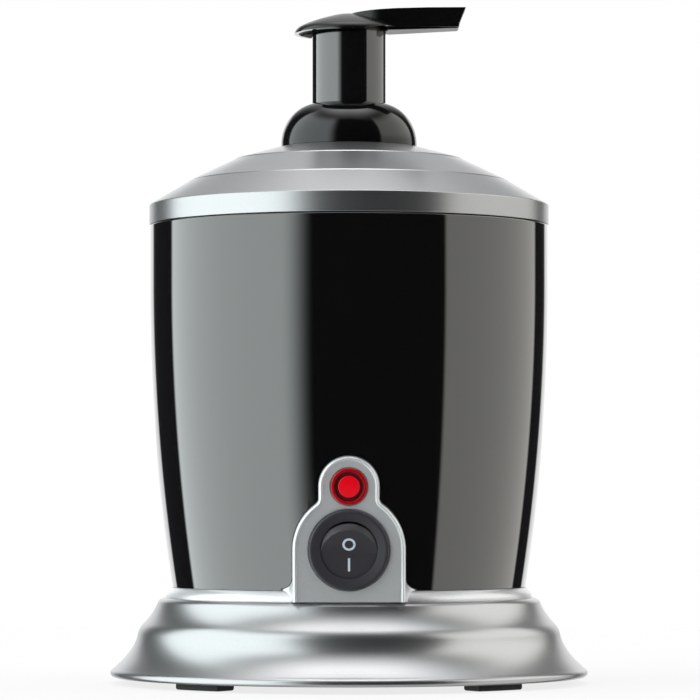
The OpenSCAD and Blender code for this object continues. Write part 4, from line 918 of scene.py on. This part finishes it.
class LATHER_OT_fascia(bpy.types.Operator):
    """Models the collar ring and the control fascia with its raised lip"""

    bl_idname = "lather.fascia"
    bl_label = "Fascia"

    def execute(self, context):
        s = context.scene.lather_sizes
        foot_r = BASE_R - s.skirt_flare
        ring_in = foot_r - 3 * MM
        ring_r = foot_r - 0.3 * MM
        ring_top = SKIRT_TOP + s.ring_h
        side = flow([(foot_r + RING_SPREAD, SKIRT_TOP, 80), (ring_r, ring_top, 150)], 12)
        ring = turned("collar_ring", [(ring_in, SKIRT_TOP)] + side + [(ring_in, ring_top)])
        pod = self.pod(s)
        flares = self.flares(s, ring_r)
        join(ring, pod, flares)
        cut(ring, self.hollow(s), *self.seats(s), self.floor())
        ring.name = "control_fascia_shell"
        fit(smooth(tidy(ring), math.radians(38)), "control_fascia", "fascia_silver")
        return {"FINISHED"}

    def pod(self, s):
        """The plate, its lip inset from the face in small steps: a round outer edge, then a soft fall."""
        depth = 11.5 * MM
        drop = 1.0 * MM
        crest = s.edge_w * 0.62
        steps = 8
        profile = [(crest * (1 - math.cos(math.pi / 2 * i / steps)),
                    (drop + s.edge_h) * math.sin(math.pi / 2 * i / steps) - drop) for i in range(steps + 1)]
        fall = s.edge_w - crest
        profile += [(crest + fall * i / steps, s.edge_h * (1 + math.cos(math.pi * i / steps)) / 2)
                    for i in range(1, steps + 1)]
        pod = prism("pod_plate", pod_outline(s, 0), -depth, -drop)
        edit(pod)
        bpy.ops.mesh.select_all(action="DESELECT")
        leave()
        max(pod.data.polygons, key=lambda face: face.center.z).select = True
        bpy.ops.object.mode_set(mode="EDIT")
        bpy.ops.mesh.select_mode(type="FACE")
        for (x0, z0), (x1, z1) in zip(profile, profile[1:]):
            bpy.ops.mesh.inset(thickness=x1 - x0, depth=z1 - z0)
        bpy.ops.mesh.select_mode(type="VERT")
        leave()
        return settle(pod, FACE)

    def flares(self, s, ring_r):
        """The fillets between the fascia's sides and the ring, round both from the front and from above."""
        flare = FLARE_R
        low_y = SKIRT_TOP - FACE.translation.z + s.ring_h
        base_y = low_y - 8 * MM
        spread = 5 * MM
        near = -(FACE.translation.y + 1.2 * MM)
        wide = s.pod_r + spread
        far = math.sqrt(ring_r**2 - wide**2)
        inner = s.pod_r - OVER
        outer = s.pod_r + 2 * flare
        steps = 12
        fillets = []
        for side in (-1, 1):
            front = [(side * inner, base_y), (side * outer, base_y), (side * outer, low_y)]
            front += [(side * x, y) for x, y in arc((s.pod_r + flare, low_y + flare), flare, 270, 180, steps)]
            front += [(side * inner, low_y + flare)]
            fillet = settle(prism("flare", front, -12 * MM, 2 * MM), FACE)
            plan = [(side * inner, -near)]
            plan += [(side * (wide + spread * math.cos(a)), -near + (near - far) * math.sin(a))
                     for a in (math.radians(180 - 90 * i / steps) for i in range(steps + 1))]
            plan += [(side * wide, -far + 6 * MM), (side * inner, -far + 6 * MM)]
            fillets.append(combine(fillet, prism("flare_plan", plan, 0, FACE.translation.z), "INTERSECT"))
        return join(*fillets)

    def hollow(self, s):
        """What is taken out behind the plate."""
        return settle(prism("hollow", pod_outline(s, -2 * MM), -13 * MM, -2.2 * MM), FACE)

    def seats(self, s):
        """The recesses and holes of the switch and the lamp, with rounded rims."""
        gap = 0.2 * MM
        rim = 0.25 * MM
        bottom = -4 * MM
        top = 2 * MM
        tools = []
        for rise, seat_r, shank_r in (
                (0, s.bezel_d / 2, SWITCH_BODY_R), (s.lamp_rise, s.lens_d / 2, LAMP_SHANK_R)):
            hole_r = shank_r + gap
            wide = seat_r + gap
            outline = [(0, bottom), (hole_r, bottom), (hole_r, -SEAT_DEPTH), (wide, -SEAT_DEPTH)]
            outline += arc((wide + rim, -rim), rim, 180, 90, ROUND_STEPS)
            outline += [(wide + rim, top), (0, top)]
            tool = turned("seat", outline, steps=CONTROL_STEPS)
            tools.append(settle(tool, FACE @ Matrix.Translation((0, rise, 0))))
        return tools

    def floor(self):
        """What lies below the ring, which the fascia stops at."""
        return turned("below", [(0, 0), (BASE_R, 0), (BASE_R, SKIRT_TOP), (0, SKIRT_TOP)])


# ---- barrel ----
class LATHER_OT_barrel(bpy.types.Operator):
    """Turns the tapered barrel and cuts the fascia's opening"""

    bl_idname = "lather.barrel"
    bl_label = "Barrel"

    def execute(self, context):
        s = context.scene.lather_sizes
        top = LID_LOW - 0.25 * MM
        foot = SKIRT_TOP + s.ring_h
        bend = top - s.barrel_upright
        drop = bend - foot
        bow = (drop**2 + s.barrel_taper**2) / (2 * s.barrel_taper)
        steps = 20

        def side(wall, start):
            """The bowed side from a level up to the bend, moved in by a wall."""
            heights = [start + (bend - start) * i / steps for i in range(steps + 1)]
            return [(BARREL_R - wall - bow + math.sqrt(bow**2 - (bend - z) ** 2), z) for z in heights]

        lip_top = high("barrel").z
        lip_in = LIP_R - 1.8 * MM
        shelf = top - 2.2 * MM
        shelf_in = lip_in - 3.8 * MM
        spigot = BASE_R - s.skirt_flare - 3.2 * MM
        spigot_in = spigot - 2.6 * MM
        spigot_low = SKIRT_TOP + 0.2 * MM
        floor = foot + 2.5 * MM
        outside = side(0, foot)
        outline = outside + rounded([
            (BARREL_R, bend), (BARREL_R, top, 0.3 * MM), (LIP_R, top), (LIP_R, lip_top, 0.3 * MM),
            (lip_in, lip_top, 0.3 * MM), (lip_in, shelf), (shelf_in, shelf),
            (shelf_in, shelf - 2.5 * MM), (BARREL_R - s.wall, shelf - 8.5 * MM)])[1:]
        outline += side(s.wall, floor)[::-1]
        outline += [(spigot_in, floor), (spigot_in, spigot_low), (spigot, spigot_low), (spigot, foot)]
        barrel = turned("barrel_shell", outline)
        opening = settle(prism("pod_hole", pod_outline(s, 0.2 * MM, FLARE_R), -23 * MM, 12 * MM), FACE)
        cut(barrel, opening)
        fit(smooth(tidy(barrel)), "barrel")
        return {"FINISHED"}


# ---- lid ----
class LATHER_OT_lid(bpy.types.Operator):
    """Turns the stepped lid with its rim band"""

    bl_idname = "lather.lid"
    bl_label = "Lid"

    def execute(self, context):
        s = context.scene.lather_sizes
        rim_top = LID_LOW + s.rim_h
        r1 = LID_R - s.tier_1_w
        r2 = r1 - s.tier_2_w
        z1 = rim_top + s.tier_1_rise
        z2 = z1 + s.tier_step + s.tier_2_rise
        seat_r = COLLAR_R + 0.5 * MM
        hole_r = NECK_R + 2.3 * MM
        drop = s.lid_wall + 0.2 * MM
        lip_out = LIP_R + 0.2 * MM
        lip_in = LIP_R - 2 * MM
        seal_top = high("lid_seal").z
        step = s.tier_step
        soft = s.edge_round
        outline = rounded([
            (LID_R, LID_LOW, 0.4 * MM), (LID_R, rim_top, soft),
            (r1 + step, z1 - step * 0.6, 0.25 * MM), (r1, z1 + step * 0.4, soft),
            (r2 + step, z2 - step * 0.6, 0.25 * MM), (r2, z2 + step * 0.4, soft),
            (seat_r, LID_TOP, 0.4 * MM), (hole_r, LID_TOP, 0.3 * MM),
            (hole_r, LID_TOP - s.lid_wall), (seat_r + 2 * MM, LID_TOP - s.lid_wall),
            (r2 - step, z2 - drop), (r1 - step, z1 - drop),
            (lip_in, rim_top - drop + 2 * MM), (lip_in, seal_top),
            (lip_out, seal_top), (lip_out, LID_LOW)], 5)
        fit(smooth(turned("lid_shell", outline), math.radians(25)), "lid")
        return {"FINISHED"}


# ---- switch ----
class LATHER_OT_switch(bpy.types.Operator):
    """Models the dished bezel, the rocker and its two marks"""

    bl_idname = "lather.switch"
    bl_label = "Switch"

    opening_level = 0.9 * MM
    valley_level = 0.4 * MM
    swing = math.radians(9)

    def execute(self, context):
        s = context.scene.lather_sizes
        self.bezel(s)
        self.rocker(s)
        self.marks()
        return {"FINISHED"}

    def cavity(self, s):
        """Radius of the hollow ball that the rocker turns in."""
        return math.hypot(s.opening_d / 2, self.opening_level + PIVOT_DEPTH)

    def bezel(self, s):
        """The body with its dished rim, hollowed like a ball for the rocker."""
        r = s.bezel_d / 2
        body_r = SWITCH_BODY_R
        cavity = self.cavity(s)
        floor = -2.7 * MM
        wide = math.sqrt(cavity**2 - (floor + PIVOT_DEPTH) ** 2)
        seat = -SEAT_DEPTH
        back = -18 * MM
        crest = 1.4 * MM
        outline = rounded([
            (0, back), (body_r, back, 0.5 * MM), (body_r, seat), (r, seat, 0.1 * MM), (r, crest, 0.55 * MM),
            (r - 1.0 * MM, crest, 0.25 * MM), (s.opening_d / 2, self.opening_level, 0.12 * MM),
            (min(wide, body_r - 1 * MM), floor), (0, floor)])
        bezel = settle(turned("switch_bezel", outline, steps=CONTROL_STEPS), FACE)
        well = block("core_well", (-6.2 * MM, -7.4 * MM, -7 * MM), (6.2 * MM, 7.4 * MM, 5 * MM))
        cut(bezel, settle(well, PIVOT_FRAME))
        fit(smooth(tidy(bezel)), "switch_housing")

    def half_rocker(self, ball_r):
        """One half of the rocker: a ball cut by its sloped face, its sides and its foot."""
        deselect()
        bpy.ops.mesh.primitive_uv_sphere_add(segments=128, ring_count=64, radius=ball_r)
        half = named("rocker_half")
        valley = self.valley_level + PIVOT_DEPTH
        side = 8.75 * MM
        crest = 6.9 * MM
        edit(half)
        for place, normal in (
                ((0, 0, valley), (0, -math.sin(self.swing), math.cos(self.swing))),
                ((0, 0, crest), (0, 0, -1)),
                ((side, 0, 0), (1, 0, 0)),
                ((-side, 0, 0), (-1, 0, 0)),
                ((0, 0, 0), (0, -1, 0))):
            bpy.ops.mesh.select_all(action="SELECT")
            bpy.ops.mesh.bisect(plane_co=place, plane_no=normal, use_fill=True, clear_outer=True)
        leave()
        modify(half, "MIRROR", use_axis=(False, True, False), use_mirror_merge=True, merge_threshold=WELD)
        return half

    def rocker(self, s):
        """Both halves with the core and the pins that they turn on."""
        play = 0.25 * MM
        pin_r = 1.5 * MM
        pin_half = 8.4 * MM
        rocker = self.half_rocker(self.cavity(s) - play)
        core = block("core", (-5.9 * MM, -4.6 * MM, -2.2 * MM), (5.9 * MM, 4.6 * MM, 7.1 * MM), 0.4 * MM)
        pins = turned("pins", rounded([
            (0, -pin_half), (pin_r, -pin_half, 0.3 * MM), (pin_r, pin_half, 0.3 * MM), (0, pin_half)]),
            steps=48)
        settle(pins, Matrix.Rotation(math.radians(90), 4, "Y"))
        join(rocker, core, pins)
        soften(tidy(rocker), 0.22 * MM, 3, 40)
        settle(rocker, PIVOT_FRAME @ Matrix.Rotation(self.swing, 4, "X"))
        rocker.name = "rocker_cap"
        fit(smooth(rocker), "switch_rocker")

    def marks(self):
        """A ring and a bar of paint, one on each sloped face."""
        rise = 3.0 * MM
        thick = 0.1 * MM
        stroke = 0.64 * MM
        ring_r = 1.875 * MM
        half_bar = 1.88 * MM
        valley = self.valley_level + PIVOT_DEPTH
        soft = 0.02 * MM
        ring_in = ring_r - stroke
        ring = turned("ring_mark", rounded([
            (ring_in, -thick), (ring_r, -thick), (ring_r, thick, soft), (ring_in, thick, soft)], 3), steps=64)
        bar_r = stroke / 2
        end_r = stroke / 5
        ends = ((-bar_r, -half_bar), (bar_r, -half_bar), (bar_r, half_bar), (-bar_r, half_bar))
        bar = prism("bar_mark", rounded([(*end, end_r) for end in ends], 3), -thick, thick)
        for mark, side in ((ring, 1), (bar, -1)):
            settle(mark, PIVOT_FRAME @ Matrix.Rotation(self.swing, 4, "X")
                   @ Matrix.Translation((0, 0, valley)) @ Matrix.Rotation(side * self.swing, 4, "X")
                   @ Matrix.Translation((0, side * rise, 0)))
        take(ring)
        bar.select_set(True)
        bpy.ops.object.join()
        ring.name = "rocker_paint"
        fit(smooth(ring), "rocker_marks")


# ---- lamp ----
class LATHER_OT_lamp(bpy.types.Operator):
    """Turns the ribbed lamp lens and lights its middle"""

    bl_idname = "lather.lamp"
    bl_label = "Lamp"

    def execute(self, context):
        s = context.scene.lather_sizes
        r = s.lens_d / 2
        crest = 0.75 * MM
        inner = -1 * MM
        shank = LAMP_SHANK_R
        bore = 3 * MM
        disc = 3.1 * MM
        groove = 0.5 * MM
        groove_z = groove - 0.9 * MM
        back = -13 * MM
        seat = -SEAT_DEPTH
        outline = rounded([
            (0, inner), (bore, inner), (bore, back), (shank, back), (shank, seat), (r, seat, 0.1 * MM),
            (r, crest, 0.4 * MM), (shank + 0.15 * MM, crest, 0.15 * MM), (shank - 0.1 * MM, groove_z),
            (disc + 0.05 * MM, groove_z), (disc, crest - 0.15 * MM, 0.25 * MM), (0, crest)])
        lens = turned("lamp_cover", outline, steps=SMALL_STEPS)
        settle(lens, FACE @ Matrix.Translation((0, s.lamp_rise, 0)))
        fit(smooth(lens), "lamp_lens")
        red = context.scene.lather_colours.lamp_red
        lens.data.materials.append(self.glow(red))
        # the middle glows, and the groove gets painted shade
        lens.data.materials.append(self.groove_painted_shade(red))
        middle = FACE @ Vector((0, s.lamp_rise, 0))
        outward = (FACE.to_3x3() @ Vector((0, 0, 1))).normalized()
        disc_level = 0.2 * MM
        groove_level = -0.5 * MM
        groove_r = shank + 0.05 * MM
        for face in lens.data.polygons:
            offset = face.center - middle
            level = offset.dot(outward)
            radius = (offset - outward * level).length
            if level > disc_level and radius < disc:
                face.material_index = 1
            # faces in the groove take the painted shade
            elif level > groove_level and disc <= radius < groove_r:
                face.material_index = 2
        return {"FINISHED"}

    def glow(self, base):
        """The middle, lit from behind, a little uneven."""
        material = shader_of("lamp_glow", base, 0.22, emission_strength=0.26)
        principled(material).inputs["Emission Color"].default_value = (1.0, 0.0, 0.012, 1)
        vector = places(material)
        slow = noise(material, vector, 350, 2)
        tinted(material, slow, shade(base, 0.85), shade(base, 1.2))
        relief(material, slow, 0.02 * MM)
        return material

    def groove_painted_shade(self, base):
        """The deep groove, painted nearly black as the shade inside it."""
        material = shader_of("lamp_groove_painted_shade", shade(base, 0.3), 0.4)
        slow = noise(material, places(material), 600, 2)
        tinted(material, slow, shade(base, 0.2), shade(base, 0.4))
        return material


# ---- pump ----
class LATHER_OT_collar(bpy.types.Operator):
    """Turns the domed pump collar"""

    bl_idname = "lather.collar"
    bl_label = "Pump collar"

    def execute(self, context):
        s = context.scene.lather_sizes
        hole = s.column_d / 2 + 0.3 * MM
        focus = 9.5 * MM
        bulge = 0.9 * MM
        reach = COLLAR_R - focus
        rise = COLLAR_TOP - COLLAR_LOW - bulge - 0.15 * MM
        angles = [math.radians(a) for a in range(-4, 90, 3)]
        dome = [(focus + reach * math.cos(a), COLLAR_LOW + bulge + rise * math.sin(a)) for a in angles]
        dome = [point for point in dome if point[0] > hole + 0.4 * MM]
        ceiling = COLLAR_TOP - 5.2 * MM
        inner = NECK_R + 0.4 * MM
        edge = dome[-1][1]
        outline = dome + [
            (hole + 0.1 * MM, edge - 0.1 * MM), (hole, edge - 0.5 * MM), (hole, ceiling),
            (inner, ceiling), (inner, COLLAR_LOW), (COLLAR_R - 0.4 * MM, COLLAR_LOW)]
        fit(smooth(turned("collar_dome", outline)), "pump_collar", "collar_black")
        return {"FINISHED"}


class LATHER_OT_spring(bpy.types.Operator):
    """Winds the pump's return spring, as tall as its part in the frame"""

    bl_idname = "lather.spring"
    bl_label = "Pump spring"

    def execute(self, context):
        lo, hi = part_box("pump_spring")
        wire_r = 0.45 * MM
        mean = hi.x - wire_r
        turns = 5
        steps = 36 * turns
        deselect()
        bpy.ops.mesh.primitive_circle_add(vertices=12, radius=wire_r)
        spring = named("pump_spring_coil")
        settle(spring, Matrix.Translation((mean, 0, lo.z + wire_r)) @ UPRIGHT)
        modify(spring, "SCREW", angle=TURN * turns, screw_offset=hi.z - lo.z - 2 * wire_r, steps=steps,
               render_steps=steps)
        edit(spring)
        weld()
        bpy.ops.mesh.select_all(action="SELECT")
        bpy.ops.mesh.fill_holes(sides=0)
        face_out()
        leave()
        fit(smooth(spring), "pump_spring")
        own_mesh(spring)
        return {"FINISHED"}


class LATHER_OT_head(bpy.types.Operator):
    """Models the pump head: column, domed cap and hollow spout, and the nozzle under it"""

    bl_idname = "lather.head"
    bl_label = "Pump head"

    def execute(self, context):
        s = context.scene.lather_sizes
        crown_drop = 1.3 * MM
        rim = HEAD_TOP - crown_drop - s.cap_h
        shell = join(self.cap(s, rim, 0), self.spout(s, rim, 0))
        hollow = join(self.cap(s, rim, s.head_wall), self.spout(s, rim, s.head_wall))
        cut(shell, hollow, self.under_rim(rim))
        join(shell, self.column(s, rim), self.socket(s, rim))
        soften(tidy(shell), 0.25 * MM, 3, 48)
        shell.name = "pump_head_shell"
        fit(smooth(shell), "pump_head")
        self.nozzle(s, rim)
        return {"FINISHED"}

    def cap(self, s, rim, inside):
        """The shallow dome with a thin rim, smaller by a wall."""
        r = CAP_R - inside
        h = s.cap_h - inside
        bottom = rim - (OVER if inside else 0)
        side = [(r, rim, 92), (r - 0.5 * MM, rim + h * 0.2, 128), (r - 2.3 * MM, rim + h * 0.4, 154),
                (r * 0.45, rim + h * 0.79, 164), (0, rim + h, 180)]
        foot = [(0, bottom), (r, bottom)] if inside else [(0, bottom)]
        return turned("cap", foot + flow(side, 8), steps=HEAD_STEPS)

    def spout(self, s, rim, inside):
        """The wedge that grows out of the dome and narrows to the tip, smaller by a wall."""
        tip = SPOUT_TIP - inside
        tip_low = tip - 2.4 * MM
        plan = prism("spout", both_sides(self.spout_plan(s, inside)), rim - 2 * MM, HEAD_TOP + OVER)
        start = rim - (OVER if inside else 0)
        side = sideways("spout_side", [
            (0, start), (tip_low, start), (tip_low, rim + 1.6 * MM), (tip, HEAD_TOP - inside),
            (23.5 * MM, HEAD_TOP - 0.2 * MM - inside), (14.2 * MM, HEAD_TOP - 0.55 * MM - inside),
            (8.6 * MM, HEAD_TOP - 0.95 * MM - inside), (0, rim + s.cap_h - 0.3 * MM - inside)], CAP_R)
        return combine(plan, side, "INTERSECT")

    def spout_plan(self, s, inside):
        """Half of the spout seen from above, from its root to its tip."""
        end = s.spout_tip_w / 2
        root = s.spout_root_w / 2
        reach = 10.5 * MM
        lean = math.degrees(math.atan2(end - root, SPOUT_TIP))
        curve = flow([(1 * MM, 3 * MM, 62), (reach, root + (end - root) * reach / SPOUT_TIP, lean)], 12)
        return [(x, y - inside) for x, y in curve] + [(SPOUT_TIP - inside, end - inside)]

    def under_rim(self, rim):
        """What is cut away below the rim, which rises under the spout."""
        start = 3 * MM
        end = SPOUT_TIP + OVER
        bottom = rim - 3 * MM
        rising = flow([(start, rim, 0), (10.5 * MM, rim + 1.4 * MM, 4)], 10)
        return sideways("under_rim", [(start, bottom)] + rising + [(end, rim + 1.65 * MM), (end, bottom)],
                        20 * MM)

    def column(self, s, rim):
        """The tube that carries the cap and slides in the collar."""
        out = s.column_d / 2
        inside = out - 1.4 * MM
        foot = COLLAR_TOP - 5 * MM
        top = rim + 2.9 * MM
        return turned("column", rounded([
            (inside, foot, 0.3 * MM), (out, foot, 0.5 * MM), (out, top), (inside, top)]), steps=HEAD_STEPS)

    def socket(self, s, rim):
        """The capped tube inside the column that takes the piston stem."""
        out = 6.6 * MM
        inside = 5.2 * MM
        top = rim + s.cap_h - s.head_wall - 0.6 * MM
        ceiling = top - 1 * MM
        return turned("socket", [(inside, HEAD_LOW), (out, HEAD_LOW), (out, top), (0, top), (0, ceiling),
                                 (inside, ceiling)], steps=SMALL_STEPS)

    def nozzle(self, s, rim):
        """The flat duct that closes the spout from below, with a rounded tip."""
        gap = 0.2 * MM
        narrow = 3.8 * MM
        start = 6.7 * MM
        wide_x = s.column_d / 2 + gap
        end = high("spout_nozzle").x
        top = rim + 4.4 * MM

        def half(x):
            """Half of the duct's width at a distance from the axis."""
            root = s.spout_root_w / 2
            return root + (s.spout_tip_w / 2 - root) * x / SPOUT_TIP - s.head_wall - gap

        plan = [(start, narrow), (wide_x, narrow), (wide_x + gap, half(wide_x + gap)), (end, half(end))]
        duct = prism("nozzle_duct", both_sides(plan), rim, top)
        side = sideways("duct_side", rounded([
            (start, rim + 0.4 * MM), (end - 0.2 * MM, rim + 1.45 * MM, 0.8 * MM),
            (end, rim + 3.4 * MM, 0.6 * MM), (end - 1 * MM, top), (start, top)], 5), CAP_R)
        combine(duct, side, "INTERSECT")
        soften(tidy(duct), 0.2 * MM, 2, 50)
        fit(smooth(duct), "spout_nozzle", "nozzle_black")


# ---- the add-on ----
STEPS = (
    LATHER_OT_stage, LATHER_OT_finishes, LATHER_OT_plinth, LATHER_OT_feet, LATHER_OT_fascia,
    LATHER_OT_barrel, LATHER_OT_lid, LATHER_OT_switch, LATHER_OT_lamp, LATHER_OT_collar, LATHER_OT_spring,
    LATHER_OT_head,
)


class LATHER_PT_panel(bpy.types.Panel):
    """Lists the steps that build the machine"""

    bl_label = "Lather machine"
    bl_idname = "LATHER_PT_panel"
    bl_space_type = "VIEW_3D"
    bl_region_type = "UI"
    bl_category = "Lather"

    def draw(self, context):
        for step in STEPS:
            self.layout.operator(step.bl_idname)
        for group in (context.scene.lather_sizes, context.scene.lather_colours):
            column = self.layout.column()
            for name in group.__annotations__:
                column.prop(group, name)


CLASSES = (LatherSizes, LatherColours, *STEPS, LATHER_PT_panel)


def register():
    for cls in CLASSES:
        bpy.utils.register_class(cls)
    bpy.types.Scene.lather_sizes = bpy.props.PointerProperty(type=LatherSizes)
    bpy.types.Scene.lather_colours = bpy.props.PointerProperty(type=LatherColours)


def unregister():
    del bpy.types.Scene.lather_colours
    del bpy.types.Scene.lather_sizes
    for cls in reversed(CLASSES):
        bpy.utils.unregister_class(cls)


def main():
    register()
    for step in STEPS:
        group, name = step.bl_idname.split(".")
        getattr(getattr(bpy.ops, group), name)()
    deselect()


if __name__ == "__main__":
    main()
